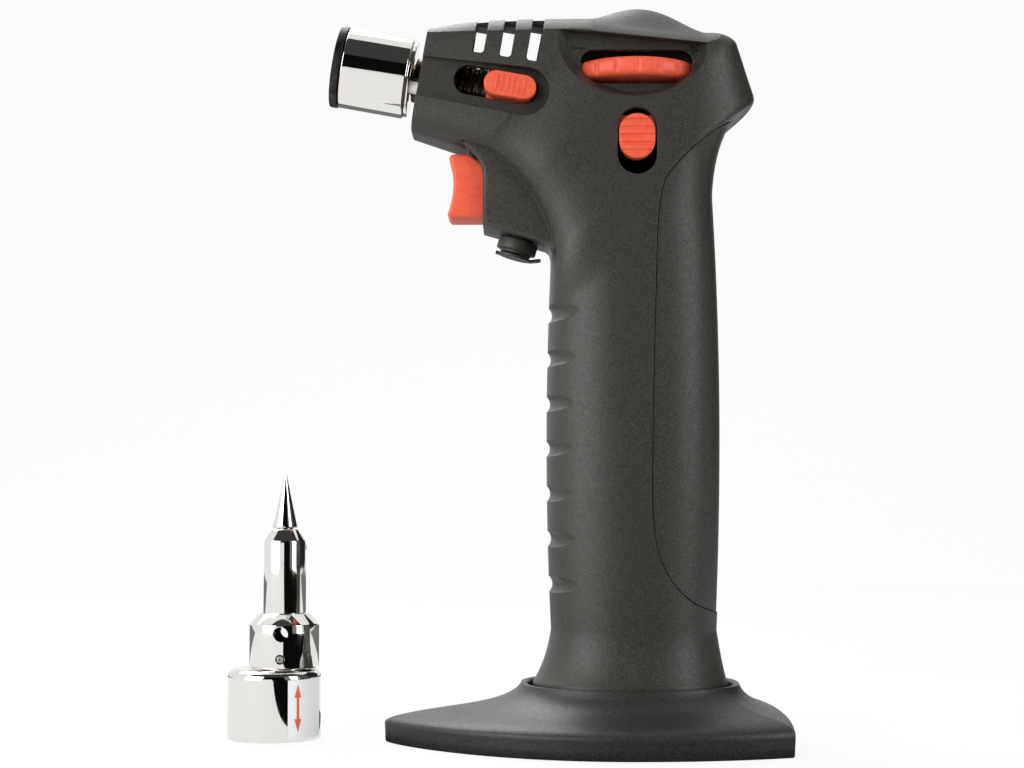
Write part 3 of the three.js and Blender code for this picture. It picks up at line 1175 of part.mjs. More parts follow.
// Ignition lead from the piezo igniter to the electrode
function buildLead(parent) {
  const at = (x, y, z) => new THREE.Vector3(x, y, z).applyMatrix4(burnerFrame.matrix).toArray();
  const piezoTop = PIEZO_Z + PIEZO_HALF_HEIGHT;
  piece(parent, 'ignition_lead', wire([
    at(insulatorBack + 2 * FIT, INSULATOR_SIDE, INSULATOR_DROP), at(insulatorBack + 2.6, INSULATOR_SIDE - 0.3, -4.4),
    at(insulatorBack + 6, INSULATOR_SIDE - 0.3, -7.4), at(insulatorBack + 9.5, INSULATOR_SIDE, -9.6),
    at(31, -5.8, -11), [-22, -5.6, 131.5], [-14, -5, 129.5], [-9, -3.6, 128.6],
    [-8, -3, piezoTop + FIT]], LEAD_RADIUS, 5, 18), rubber);
}

// Lock button with the plate that keeps it behind the wall
function buildLock(parent) {
  const face = HEAD_HALF_WIDTH + LOCK_PROUD;
  const plateOuter = HEAD_HALF_WIDTH - WALL - FIT;
  const button = solidOf(across(uprightStadium(LOCK_X, LOCK_HALF_WIDTH, LOCK_Z - LOCK_HALF_HEIGHT,
    LOCK_Z + LOCK_HALF_HEIGHT), -face, 0.5 - plateOuter, 0.4));
  const half = LOCK_HALF_WIDTH + LOCK_PLATE_MARGIN;
  const plate = solidOf(box([LOCK_X - half, -plateOuter, LOCK_Z - LOCK_HALF_HEIGHT - LOCK_PLATE_MARGIN],
    [LOCK_X + half, LOCK_PLATE - plateOuter, LOCK_Z + LOCK_HALF_HEIGHT + LOCK_PLATE_MARGIN]));
  const ribs = Array.from({ length: LOCK_RIBS }, (_, i) => {
    const z = LOCK_Z + (i - (LOCK_RIBS - 1) / 2) * LOCK_RIB_PITCH;
    return solidOf(box([LOCK_X - half, -face - 1, z - 0.3], [LOCK_X + half, LOCK_RIB_DEPTH - face, z + 0.3]));
  });
  piece(parent, 'lock_button', cut(join(button, plate), ...ribs), orangePlastic);
}

// Soldering attachment, standing on its socket
function buildAttachment(parent) {
  const bore = RING_RADIUS + SOCKET_PLAY;
  const topInner = SOCKET_HEIGHT - SOCKET_TOP_WALL;
  const shoulder = SOCKET_HEIGHT - SOCKET_SHOULDER;
  const topRadius = SOCKET_RADIUS - SOCKET_TAPER;
  const round = [0, 1, 2, 3, 4].map((i) => {
    const angle = (QUARTER * i) / 4;
    return [topRadius - SOCKET_SHOULDER * (1 - Math.cos(angle)), shoulder + SOCKET_SHOULDER * Math.sin(angle)];
  });
  const cup = solidOf(turned([[bore, 0], [SOCKET_RADIUS, 0], ...round, [0, SOCKET_HEIGHT],
    [0, topInner], [bore, topInner]].map((p) => [...p]), 28));
  const vent = solidOf(turned(rod(TIP_SLEEVE_SPIGOT + FIT, topInner - 1, SOCKET_HEIGHT + 1), 20)
    .translate(SLEEVE_OFFSET, 0, 0));
  piece(parent, 'tip_socket', cut(cup, vent), chrome);
  const stack = new THREE.Group();
  stack.position.x = SLEEVE_OFFSET;
  parent.add(stack);
  const base = SOCKET_HEIGHT + FIT;
  const inner = TIP_SLEEVE_RADIUS - TIP_SLEEVE_WALL;
  const barrelHole = BARREL_RADIUS + FIT;
  const coneTop = TIP_SLEEVE_TOP + CONE_HEIGHT;
  const sleeve = solidOf(turned([[TIP_SLEEVE_SPIGOT - TIP_SLEEVE_WALL, topInner],
    [TIP_SLEEVE_SPIGOT, topInner], [TIP_SLEEVE_SPIGOT, base], [TIP_SLEEVE_RADIUS, base],
    [TIP_SLEEVE_RADIUS, TIP_SLEEVE_TOP], [barrelHole + 0.5, coneTop], [barrelHole, coneTop],
    [barrelHole, TIP_SLEEVE_TOP], [inner, TIP_SLEEVE_TOP - 0.4], [inner, base + TIP_SLEEVE_WALL],
    [TIP_SLEEVE_SPIGOT - TIP_SLEEVE_WALL, base + TIP_SLEEVE_WALL]], 24));
  const exhaust = solidOf(turnedY(rod(EXHAUST_RADIUS, -2 * SOCKET_RADIUS, 2 * SOCKET_RADIUS), 12)
    .translate(0, 0, EXHAUST_Z));
  const screwHole = solidOf(turnedY(rod(SET_SCREW_RADIUS + FIT, -2 * SOCKET_RADIUS, 0), 12)
    .translate(0, 0, SET_SCREW_Z));
  piece(stack, 'tip_sleeve', cut(sleeve, exhaust, screwHole), chrome);
  piece(stack, 'set_screw', turnedY(rod(SET_SCREW_RADIUS, 0.2 - TIP_SLEEVE_RADIUS, 0.6 - inner), 10), steel)
    .position.z = SET_SCREW_Z;
  const stemBottom = BARREL_TOP - TIP_STEM_LENGTH;
  const barrel = solidOf(turned([[0, TIP_SLEEVE_TOP + FIT], [BARREL_RADIUS, TIP_SLEEVE_TOP + FIT],
    [BARREL_RADIUS, BARREL_TOP - BARREL_CHAMFER], [BARREL_FACE_RADIUS, BARREL_TOP],
    [TIP_STEM_RADIUS + FIT, BARREL_TOP], [TIP_STEM_RADIUS + FIT, stemBottom - FIT], [0, stemBottom - FIT]], 24));
  const sideHole = solidOf(turnedX(rod(BARREL_HOLE_RADIUS, 0, 2 * BARREL_RADIUS), 10).translate(0, 0, BARREL_HOLE_Z));
  piece(stack, 'tip_barrel', cut(barrel, sideHole), chrome);
  const coneBase = BARREL_TOP + FIT;
  piece(stack, 'soldering_tip', turned([[0, stemBottom], [TIP_STEM_RADIUS, stemBottom],
    [TIP_STEM_RADIUS, coneBase], [TIP_RADIUS, coneBase], [TIP_RADIUS, coneBase + 0.5],
    [TIP_POINT_RADIUS, TIP_TOP], [0, TIP_TOP]], 20), chrome);
}

const torch = new THREE.Group();
buildStand(torch);
buildCasing(torch);
torch.add(burnerFrame);
buildBurner(burnerFrame);
buildAirSlider(burnerFrame);
buildFlowControl(torch);
buildGasLine(torch);
torch.add(fillerFrame);
buildFiller(fillerFrame);
buildTrigger(torch);
buildLever(torch);
buildLead(torch);
buildLock(torch);
const attachment = new THREE.Group();
attachment.position.set(ATTACHMENT_X, ATTACHMENT_Y, 0);
torch.add(attachment);
buildAttachment(attachment);

export default torch;
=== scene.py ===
"""Butane micro torch in its stand, with a soldering attachment standing beside it."""
import json
from math import cos, pi, radians, sin, sqrt, tan

import bmesh
import bpy
import numpy as np
from mathutils import Matrix, Vector
from mathutils.bvhtree import BVHTree
from mathutils.interpolate import poly_3d_calc


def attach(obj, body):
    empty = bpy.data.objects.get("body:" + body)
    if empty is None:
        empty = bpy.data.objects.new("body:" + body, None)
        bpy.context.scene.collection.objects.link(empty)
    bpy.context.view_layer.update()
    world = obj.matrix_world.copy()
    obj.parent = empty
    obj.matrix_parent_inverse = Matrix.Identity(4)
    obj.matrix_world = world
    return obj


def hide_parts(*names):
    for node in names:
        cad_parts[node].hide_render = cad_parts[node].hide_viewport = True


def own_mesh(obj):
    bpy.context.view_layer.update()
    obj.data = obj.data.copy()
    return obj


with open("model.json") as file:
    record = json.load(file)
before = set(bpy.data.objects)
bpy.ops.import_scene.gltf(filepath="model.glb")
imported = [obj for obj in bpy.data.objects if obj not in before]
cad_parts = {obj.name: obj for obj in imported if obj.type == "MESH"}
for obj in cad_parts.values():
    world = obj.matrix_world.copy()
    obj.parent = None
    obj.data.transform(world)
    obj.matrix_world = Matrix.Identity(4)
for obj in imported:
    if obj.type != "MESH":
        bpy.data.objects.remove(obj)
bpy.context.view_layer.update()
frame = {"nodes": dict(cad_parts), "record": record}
scene = bpy.context.scene

# Sizes are in millimetres, in the frame of the solids: +Z up, flame towards -X
MM = 0.001
FIT = 0.3
WALL = 2.0
RUNNING_FIT = 0.45
SEAM = 0.06
FAR = 40.0
IN_PLACE = Matrix.Identity(4)
SMOOTH_ANGLE = 32
BROAD_ANGLE = 40
ON_SKIN = 0.03
SAME_WAY = 0.9
CORNER_SHARE = 0.45
MERGE_WITHIN = 1e-7
NEARLY_NONE = 1e-9

# Stand
STAND_FRONT = 55.2
STAND_BACK = 34.1
STAND_HALF_WIDTH = 32.4
STAND_WIDEST_X = -2.0
STAND_CORNER_X = 32.0
STAND_CORNER_Y = 26.3
STAND_CORNER_TURN = 4 / 7
STAND_NOSE_POWER = 1.6
STAND_SIDE_POWER = 2.2
STAND_RISE = [(0, 0), (0.03, 0.36), (0.9, 0.24), (1, 1)]
STAND_BACK_SWELL = 1.3
STAND_RIM = 4.5
STAND_TOE = 0.15
STAND_DRAFT = 0.2
STAND_AROUND = 252
STAND_RIM_STEPS = (0.1, 0.5, 0.93)
COLLAR_HEIGHT = 13.3
COLLAR_GAP = 1.2
COLLAR_LIP = 1.4
COLLAR_ROUND = 0.7
SOCKET_FLOOR_Z = 4.7
SOCKET_UNDERSIDE = 3.2
FOOT_BOTTOM = 5.0

# Grip
GRIP_HALF_LENGTH = 18.2
GRIP_HALF_WIDTH = 15.5
GRIP_BULGE = 1.0
GRIP_MIDDLE = 65.0
GRIP_BULGE_SPAN = 41.0
GRIP_BACK_LENGTH = 18.4
GRIP_BACK_BULGE = 1.35
GRIP_BACK_MIDDLE = 72.0
GRIP_BACK_SPAN = 49.0
GRIP_POWER = 2.3
THUMB_Z = 92.0
FLARE_TOP = 25.0
FLARE_BELLY = 1.0
FLARE_BEND = 0.6
FOOT_TOP = 13.4
FOOT_X = -0.75
FOOT_HALF_LENGTH = 21.5
FOOT_HALF_WIDTH = 18.3
GROOVE_COUNT = 7
GROOVE_PITCH = 10.0
GROOVE_LOWEST = 35.0
GROOVE_DEPTH = 0.75
GROOVE_ROUND = 2.4
GROOVE_SWEEP = 17.0
GROOVE_SPREAD = 50

# Head
HEAD_FACE_X = -47.3
HEAD_FACE_TILT = radians(10)
HEAD_FRONT_HALF_WIDTH = 10.8
NOSE_BACK_HALF_WIDTH = 13.2
HEAD_HALF_WIDTH = 15.0
NOSE_POWER = 4.5
THROAT_POWER = 4.4
WIDEST = 0.45
MIDWAY = 0.5
CASING_AROUND = 160
HOLLOW_AROUND = 64
HOLLOW_DETAIL = 0.4
BACK_POWER = 2.7
CHIN_FRONT_Z = 136.1
CHIN_REAR_Z = 130.8
THROAT_END_Z = 108.5
THROAT_BEND = ((0.4, 0.11), (0.89, 0.53))
CROWN_Z = 161.9
CROWN_FRONT_DROP = 2.2
CROWN_FRONT_POWER = 4
CROWN_FALL = 3.2
CROWN_COVER = 1.0
HUMP_X = 3.3
HUMP_HALF_LENGTH = 12.9
HUMP_HEIGHT = 4.62
HUMP_HALF_WIDTH = 11.0
HUMP_POWER = 1.3
SHOULDER_FRONT_Z = 157.0
SHOULDER_Z = 156.9
SHOULDER_FALL = 3.1
ROOF_FRONT_HALF_WIDTH = 10.9
ROOF_HALF_WIDTH = 13.4
ROOF_POWER = 3
ROOF_SPREAD = 1.4
HEAD_BACK_TOP = np.array([23.2, 157.1])
HEAD_BACK_LOW = np.array([28.2, 143.0])
HEAD_BACK_ROUND = 1.9
UNDERCUT_LEAN = np.array([-0.8, -0.65])
UNDERCUT_END_Z = 122.0
UNDERCUT_BEND = ((0.6, 0.11), (0.94, 0.52))

# Trigger block
BLOCK_FRONT_X = -33.4
BLOCK_FRONT_Z = 114.6
BLOCK_SLOPE = radians(16)
BLOCK_HALF_WIDTH = 9.0
BLOCK_BACK_X = -14.0
BLOCK_WALL = 1.6
BLOCK_ROUND = 0.8
BLOCK_SINK = 3.0
BLOCK_WEB = (5.5, 5.2)
BLOCK_HEEL = 1.6

# Tank cover
COVER_STEP = 0.25
COVER_GAP = 0.14
COVER_SEAM = [(25.5, 140.5), (17.4, 134.6), (9.6, 127.5), (5.6, 119.7), (4.4, 97.3),
              (3.5, 62), (3.8, 47), (6.4, 38), (11.6, 32), (18.1, 29)]

# Burner, along its own tilted axis from the head's face
BURNER_TILT = radians(10)
BURNER_Z = 148.52
TUBE_REAR = -2.1
TUBE_LENGTH = 15.6
TUBE_RADIUS = 9.15
TUBE_WALL = 0.7
TUBE_WEB = 0.8
TUBE_STEP = (0.5, 1.1)
TUBE_STEP_SLOPE = 0.4
HOLE_REACH = 3.0
RING_LENGTH = 1.8
RING_RADIUS = 9.2
RING_LIP = 1.2
RING_SKIRT = 3.0
RING_SKIRT_WALL = 0.6
NOZZLE_RADIUS = 4.6
NOZZLE_LENGTH = 12.6
NOZZLE_MOUTH = 3.6
NOZZLE_MOUTH_DEPTH = 4.0
NOZZLE_BORE = 2.4
SPIGOT_RADIUS = 3.3
COLLAR_RADIUS = 5.0
COLLAR_LENGTH = 6.0
MIXER_RADIUS = 5.75
MIXER_LENGTH = 23.7
MIXER_BORE = 2.6
MIXER_GROOVES = 5
MIXER_GROOVE_PITCH = 2.0
MIXER_GROOVE_DEPTH = 0.5
MIXER_GROOVE_WIDTH = 1.2
MIXER_GROOVE_SIDE = 0.3
INSULATOR_RADIUS = 1.4
INSULATOR_LENGTH = 14.5
INSULATOR_SIDE = -6.0
INSULATOR_DROP = -3.0
ELECTRODE_RADIUS = 0.45
ELECTRODE_BEND = 2.5
ELECTRODE_REACH = 0.8
ELECTRODE_TURN = 0.78

# Air slider and its channel
SLEEVE_WALL = 1.15
SLEEVE_LENGTH = 10.0
KNOB_LENGTH = 11.7
KNOB_HALF_HEIGHT = 2.75
KNOB_FACE = 12.6
KNOB_ROUND = 0.5
KNOB_RIBS = 6
KNOB_RIB_PITCH = 1.25
KNOB_RIB_WIDTH = 0.45
KNOB_RIB_HEIGHT = 0.25
KNOB_RIB_MARGIN = 0.4
SHOE_OVERHANG = 1.0
AIR_TRAVEL = 6.4
AIR_SLOT_HALF_HEIGHT = 3.3
AIR_SLOT_BACK = 26.55
CHANNEL_FLOOR = 10.0
CHANNEL_LOW = -5.2
CHANNEL_HIGH = 3.2
CHANNEL_END_RADIUS = 5.45
CHANNEL_END = 23.75
CHANNEL_RUN_OUT = 4.0
PAN_WALL = 1.6

# Vents
VENT_COUNT = 3
VENT_FIRST = 12.0
VENT_PITCH = 6.1
VENT_WIDTH = 2.6
VENT_LOW = 6.0
VENT_HIGH = 20.0
VENT_SPINE = 3.0
VENT_STRIP = 1.6
VENT_ROUND = 0.8
VENT_RAKE = 0.044

# Flow wheel and its recess
WHEEL_X = 0.7
WHEEL_Z = 148.9
WHEEL_RADIUS = 15.4
WHEEL_THICKNESS = 4.2
WHEEL_NOTCHES = 20
WHEEL_NOTCH_DEPTH = 0.5
WHEEL_NOTCH_STEPS = 20
WHEEL_NOTCH_HALF_WIDTH = 0.6
WHEEL_ROUND = 1.6
WHEEL_BORE = 1.8
WHEEL_SLOT_BOTTOM = 1.0
WHEEL_SLOT_TOP = 2.35
WHEEL_SLOT_RADIAL = 0.7
WHEEL_SLOT_ROUND = 2.7
RIB_HALF_THICKNESS = 0.8
RIB_GAP = 0.35
RIB_HALF_LENGTH = 14.0
RIB_SPINDLE_GAP = 3.4
RIB_LOW = 143.5
RIB_HIGH = 157.0
MOON_X = -1.1
MOON_Z = 155.9
MOON_HALF_LENGTH = 18.2
MOON_DEPTH = 13.9
MOON_TILT = radians(-5.6)
MOON_FLOOR = 10.2
MOON_DRAFT = 1.9
MOON_END_DRAFT = 3.6
MOON_FLOOR_SHIFT = 1.4

# Lock button
LOCK_X = 0.45
LOCK_Z = 133.1
LOCK_HALF_WIDTH = 3.95
LOCK_HALF_HEIGHT = 5.0
LOCK_FACE = 15.3
LOCK_TRAVEL = 3.0
LOCK_SIDE_GAP = 0.4
LOCK_TOP_GAP = 1.3
LOCK_PLATE_OUTER = 12.5
LOCK_PLATE = 1.4
LOCK_PLATE_MARGIN = 1.6
LOCK_ROOT = 0.5
LOCK_RIBS = 5
LOCK_RIB_PITCH = 1.7
LOCK_RIB_DEPTH = 0.35
LOCK_RIB_ROUND = 0.45
LOCK_ROUND = 0.4

# Trigger
TRIGGER_HALF_WIDTH = 6.5
TRIGGER_TOP = 130.7
TRIGGER_BOTTOM = 116.6
TRIGGER_FRONT_X = -41.3
TRIGGER_BACK_X = -27.3
TRIGGER_HOLLOW = 1.2
TRIGGER_TRAVEL = 6.0
TRIGGER_ROUND = 0.8
TRIGGER_CORNER = 0.7
TRIGGER_LEAN = 0.3
TRIGGER_CREST = 2.5
TRIGGER_SLOPE = 0.8
TRIGGER_HEEL = 0.7
TRIGGER_ARM_END_X = -19.5
TRIGGER_ARM_Y = 5.2
TRIGGER_ARM_WIDTH = 1.3
TRIGGER_ARM_Z = 127.5
TRIGGER_ARM_HEIGHT = 2.5
WELL_MARGIN = 1.0

# Filler, in a frame square to the sloping underside of the block
FILLER_X = -25.3
FILLER_TOP = -0.3
FILLER_RADIUS = 4.5
FILLER_LOW = -2.9
FILLER_RIM_RADIUS = 3.5
FILLER_RIM = 0.6
FILLER_NECK = 3.0
FILLER_NECK_LENGTH = 1.4
FILLER_BORE = 2.3
LID_RADIUS = 3.7
LID_THICKNESS = 0.6
LID_HINGE = (5.97, -3.05)
LID_ARM = 0.5
LID_TONGUE = 1.2
LID_LIP = 0.6

# Housing screws: x, z and the seat of the head
SCREW_SPOTS = [(-44.5, 138.3, 5.0), (20.8, 150.5, 7.0), (-1.0, 111.5, 10.0), (0.0, 9.4, 13.0)]
SCREW_HEAD_RADIUS = 2.3
SCREW_HEAD_HEIGHT = 1.6
SCREW_RADIUS = 1.3
SCREW_BITE = 5.0
SCREW_BOSS_RADIUS = 2.8
SCREW_CROSS = (1.5, 0.28)
SCREW_CROSS_DEPTH = 0.8

# Attachment
ATTACHMENT = (-80.85, 8.0)
SOCKET_RADIUS = 10.6
SOCKET_TOP_RADIUS = 10.45
SOCKET_HEIGHT = 15.6
SOCKET_SHOULDER = 1.8
SOCKET_TOP_WALL = 2.1
SOCKET_BORE = 9.55
SLEEVE_OFFSET = 2.2
TIP_SLEEVE_RADIUS = 7.85
TIP_SLEEVE_WALL = 1.2
TIP_SLEEVE_TOP = 25.6
TIP_SLEEVE_SPIGOT = 4.7
CONE_HEIGHT = 2.4
CONE_LIP = 0.5
CONE_ROOT = 0.4
EXHAUST_Z = 23.6
EXHAUST_RADIUS = 1.7
SET_SCREW_Z = 18.1
SET_SCREW_RADIUS = 0.8
SET_SCREW_SINK = 0.2
SET_SCREW_REACH = 0.6
SET_SCREW_HEX = 0.4
SET_SCREW_HEX_DEPTH = 0.7
BARREL_RADIUS = 4.8
BARREL_TOP = 47.0
BARREL_CHAMFER = 2.7
BARREL_FACE_RADIUS = 3.1
BARREL_HOLE_Z = 42.9
BARREL_HOLE_RADIUS = 0.8
BARREL_HOLE_REACH = 12.0
TIP_RADIUS = 2.8
TIP_POINT_RADIUS = 0.25
TIP_TOP = 59.3
TIP_STEM_RADIUS = 1.8
TIP_STEM_LENGTH = 6.0
TIP_BAND = 0.5

# Label on the socket, by angle round it and height
LABEL_LOW = 0.7
LABEL_HIGH = 13.7
LABEL_START = radians(-66)
LABEL_END = radians(-10)
LABEL_PROUD = 0.05
ARROW_ANGLE = radians(-53)
ARROW_LOW = 2.2
ARROW_HIGH = 12.7
ARROW_HEAD = 2.9
ARROW_HALF = 0.85
ARROW_STEM = 0.3
ARROW_POINT = 0.02

# Marks on the floor of the wheel's recess: x, z, and whether it is a plus
MARKS = {"minus_mark": (-12.2, 153.7, False), "plus_mark": (13.0, 153.2, True)}
MARK_HALF_LENGTH = 1.35
MARK_HALF_HEIGHT = 1.05
MARK_HALF_WIDTH = 0.17
MARK_PROUD = 0.2

# Places that follow from the sizes above
BOX_TOP = CROWN_Z + CROWN_COVER
BOX_TURN_X = HUMP_X - HUMP_HALF_LENGTH
UNDERCUT_START = HEAD_BACK_LOW + UNDERCUT_LEAN * HEAD_BACK_ROUND
TUBE_FRONT = TUBE_REAR - TUBE_LENGTH
WEB_FRONT = TUBE_REAR - TUBE_WEB
COLLAR_FRONT = TUBE_REAR + FIT
COLLAR_BACK = COLLAR_FRONT + COLLAR_LENGTH
MIXER_FRONT = COLLAR_BACK + FIT
MIXER_BACK = MIXER_FRONT + MIXER_LENGTH
SLEEVE_INNER = MIXER_RADIUS + FIT
SLEEVE_OUTER = SLEEVE_INNER + SLEEVE_WALL
KNOB_MIDDLE = AIR_SLOT_BACK - RUNNING_FIT - KNOB_LENGTH / 2
AIR_SLOT_FRONT = AIR_SLOT_BACK - KNOB_LENGTH - AIR_TRAVEL - 2 * RUNNING_FIT
INSULATOR_BACK = COLLAR_BACK - FIT
INSULATOR_FRONT = INSULATOR_BACK - INSULATOR_LENGTH
BURNER = Matrix.Translation((HEAD_FACE_X, 0, BURNER_Z)) @ Matrix.Rotation(BURNER_TILT, 4, "Y")
BESIDE_BURNER = BURNER @ Matrix.Translation((0, INSULATOR_SIDE, INSULATOR_DROP))


def underside_z(x):
    return BLOCK_FRONT_Z - (x - BLOCK_FRONT_X) * tan(BLOCK_SLOPE)


FILLER = Matrix.Translation((FILLER_X, 0, underside_z(FILLER_X))) @ Matrix.Rotation(BLOCK_SLOPE, 4, "Y")


# Meshes
def new_object(name, verts, faces, matrix=IN_PLACE):
    """A mesh from points in millimetres, with its normals facing out."""
    mesh = bpy.data.meshes.new(name)
    mesh.from_pydata([(matrix @ Vector(v)) * MM for v in verts], [], faces)
    shape = bmesh.new()
    shape.from_mesh(mesh)
    bmesh.ops.remove_doubles(shape, verts=shape.verts, dist=MERGE_WITHIN)
    bmesh.ops.recalc_face_normals(shape, faces=shape.faces)
    shape.to_mesh(mesh)
    shape.free()
    return placed(name, mesh)


def placed(name, data):
    obj = bpy.data.objects.new(name, data)
    scene.collection.objects.link(obj)
    return obj


def skinned(name, loops, closed=False, matrix=IN_PLACE):
    """A skin over loops of equal count, capped at both ends unless it closes on itself."""
    count, rows = len(loops[0]), len(loops)
    verts = [tuple(p) for loop in loops for p in loop]
    faces = []
    for i in range(rows if closed else rows - 1):
        k = (i + 1) % rows
        for j in range(count):
            n = (j + 1) % count
            faces.append((i * count + j, i * count + n, k * count + n, k * count + j))
    if not closed:
        faces += [tuple(range(count)), tuple(range((rows - 1) * count, rows * count))]
    return new_object(name, verts, faces, matrix)


def unit_rows(rows):
    return rows / np.linalg.norm(rows, axis=1)[:, None]


def turned_left(rows):
    return np.column_stack([-rows[:, 1], rows[:, 0]])


def resample(points, count):
    """Points at equal steps along a polyline."""
    points = np.asarray(points, float)
    steps = np.linalg.norm(np.diff(points, axis=0), axis=1)
    along = np.concatenate([[0], np.cumsum(steps)])
    at = np.linspace(0, along[-1], count + 1)
    return np.column_stack([np.interp(at, along, points[:, k]) for k in range(points.shape[1])])


def bezier(*controls, steps=80):
    """Points on a quadratic or cubic curve."""
    t = np.linspace(0, 1, steps + 1)[:, None]
    controls = [np.asarray(c, float) for c in controls]
    while len(controls) > 1:
        controls = [a + (b - a) * t for a, b in zip(controls, controls[1:])]
    return controls[0]


def spline(points, steps=24):
    """A smooth curve through all the points."""
    points = [np.asarray(p, float) for p in points]
    padded = [2 * points[0] - points[1], *points, 2 * points[-1] - points[-2]]
    out = []
    for a, b, c, d in zip(padded, padded[1:], padded[2:], padded[3:]):
        for t in np.linspace(0, 1, steps, endpoint=False):
            out.append(0.5 * (2 * b + (c - a) * t + (2 * a - 5 * b + 4 * c - d) * t ** 2
                              + (3 * b - a - 3 * c + d) * t ** 3))
    out.append(points[-1])
    return np.array(out)


def rounded(profile, radius, closed, steps=4):
    """A profile with its corners eased by a radius that its edges limit."""
    points = [np.asarray(p, float) for p in profile]
    count = len(points)
    out = []
    for i, p in enumerate(points):
        if not closed and i in (0, count - 1):
            out.append(p)
            continue
        before, after = points[i - 1], points[(i + 1) % count]
        back, on = np.linalg.norm(before - p), np.linalg.norm(after - p)
        reach = min(radius, CORNER_SHARE * back, CORNER_SHARE * on)
        start = p + (before - p) / back * reach
        end = p + (after - p) / on * reach
        out.extend(bezier(start, p, end, steps=steps))
    return out


AXIS_TURN = {
    "X": Matrix.Rotation(pi / 2, 4, "Y"),
    "Y": Matrix.Rotation(-pi / 2, 4, "X"),
    "Z": IN_PLACE,
}


def lathe(name, profile, segments=96, round_by=0.15, matrix=IN_PLACE, along="Z"):
    """A profile of (radius, height) turned about an axis; it ends on the axis or closes on itself."""
    closed = profile[0][0] > 0
    outline = rounded(profile, round_by, closed)
    rows = len(outline)
    verts, faces = [], []
    for k in range(segments):
        angle = 2 * pi * k / segments
        verts.extend((r * cos(angle), r * sin(angle), h) for r, h in outline)
        n = (k + 1) % segments
        for i in range(rows if closed else rows - 1):
            j = (i + 1) % rows
            faces.append((k * rows + i, n * rows + i, n * rows + j, k * rows + j))
    return new_object(name, verts, faces, matrix @ AXIS_TURN[along])


def stepped(*turns):
    """A profile with square corners, from a radius, a height, the next radius and so on."""
    return [(b, a) if k % 2 else (a, b) for k, (a, b) in enumerate(zip(turns, turns[1:]))]


def rod(radius, low, high):
    return stepped(0, low, radius, high, 0)


def moved_in(outline, distance):
    """A closed outline with every edge moved inwards and its corners mitred."""
    points = np.asarray(outline, float)
    after = np.roll(points, -1, axis=0)
    area = np.sum(points[:, 0] * after[:, 1] - after[:, 0] * points[:, 1])
    inward = turned_left(unit_rows(after - points)) * np.sign(area)
    before = np.roll(inward, 1, axis=0)
    mitre = (inward + before) / (1 + np.sum(inward * before, axis=1))[:, None]
    return points + mitre * distance


def slab(name, outline, low, high, round_by=0.0, steps=5, matrix=IN_PLACE):
    """An outline in the side view (x, z) given a thickness across the torch, with eased edges."""
    rows = [(low, 0.0), (high, 0.0)]
    if round_by:
        turns = np.linspace(0, pi / 2, steps + 1)
        rows = [(low + round_by * (1 - cos(a)), round_by * (1 - sin(a))) for a in turns]
        rows += [(high - round_by * (1 - sin(a)), round_by * (1 - cos(a))) for a in turns]
    loops = [[(x, y, z) for x, z in moved_in(outline, inset)] for y, inset in rows]
    return skinned(name, loops, matrix=matrix)


def block(name, low, high, matrix=IN_PLACE):
    corners = [(x, y, z) for x in (low[0], high[0]) for y in (low[1], high[1]) for z in (low[2], high[2])]
    faces = [(0, 1, 3, 2), (4, 6, 7, 5), (0, 4, 5, 1), (2, 3, 7, 6), (0, 2, 6, 4), (1, 5, 7, 3)]
    return new_object(name, corners, faces, matrix)


def arc(middle, radius, start, end, steps=24):
    angles = np.linspace(start, end, steps + 1)
    return [(middle[0] + radius * cos(a), middle[1] + radius * sin(a)) for a in angles]


def stadium(x_low, x_high, half):
    return arc((x_high - half, 0), half, -pi / 2, pi / 2) + arc((x_low + half, 0), half, pi / 2, 3 * pi / 2)


def upright_stadium(x, half, z_low, z_high):
    return arc((x, z_high - half), half, 0, pi) + arc((x, z_low + half), half, pi, 2 * pi)


def wire(name, points, radius, sides=12, matrix=IN_PLACE, steps=10):
    """A round wire along a smooth curve through the points."""
    path = spline(points, steps)
    loops = []
    side = np.array([0.0, 0.0, 1.0])
    for i, p in enumerate(path):
        ahead = path[min(i + 1, len(path) - 1)] - path[max(i - 1, 0)]
        ahead /= np.linalg.norm(ahead)
        side = side - ahead * side.dot(ahead)
        side /= np.linalg.norm(side)
        other = np.cross(ahead, side)
        loops.append([p + radius * (side * cos(a) + other * sin(a))
                      for a in np.linspace(0, 2 * pi, sides, endpoint=False)])
    return skinned(name, loops, matrix=matrix)


# Shaping
def smooth(obj, angle=SMOOTH_ANGLE):
    mesh = obj.data
    mesh.polygons.foreach_set("use_smooth", [True] * len(mesh.polygons))
    mesh.set_sharp_from_angle(angle=radians(angle))


def combine(obj, tool, operation):
    """Shapes a piece with a tool, which is then removed."""
    modifier = obj.modifiers.new("combine", "BOOLEAN")
    modifier.operation = operation
    modifier.solver = "MANIFOLD"
    modifier.object = tool
    bpy.context.view_layer.update()
    shaped = obj.evaluated_get(bpy.context.evaluated_depsgraph_get())
    mesh = bpy.data.meshes.new_from_object(shaped)
    obj.modifiers.clear()
    old = obj.data
    obj.data = mesh
    bpy.data.meshes.remove(old)
    discard(tool)


def cut(obj, *tools):
    for tool in tools:
        combine(obj, tool, "DIFFERENCE")


def join(obj, *tools):
    for tool in tools:
        combine(obj, tool, "UNION")


def trim(obj, tool):
    """Keeps what lies inside the tool."""
    combine(obj, tool, "INTERSECT")


def discard(obj):
    mesh = obj.data
    bpy.data.objects.remove(obj)
    bpy.data.meshes.remove(mesh)


def drill(obj, radius, low, high, segments, place, along):
    cut(obj, lathe("drill", rod(radius, low, high), segments, 0, place, along))


def copy_of(obj, name):
    return placed(name, obj.data.copy())


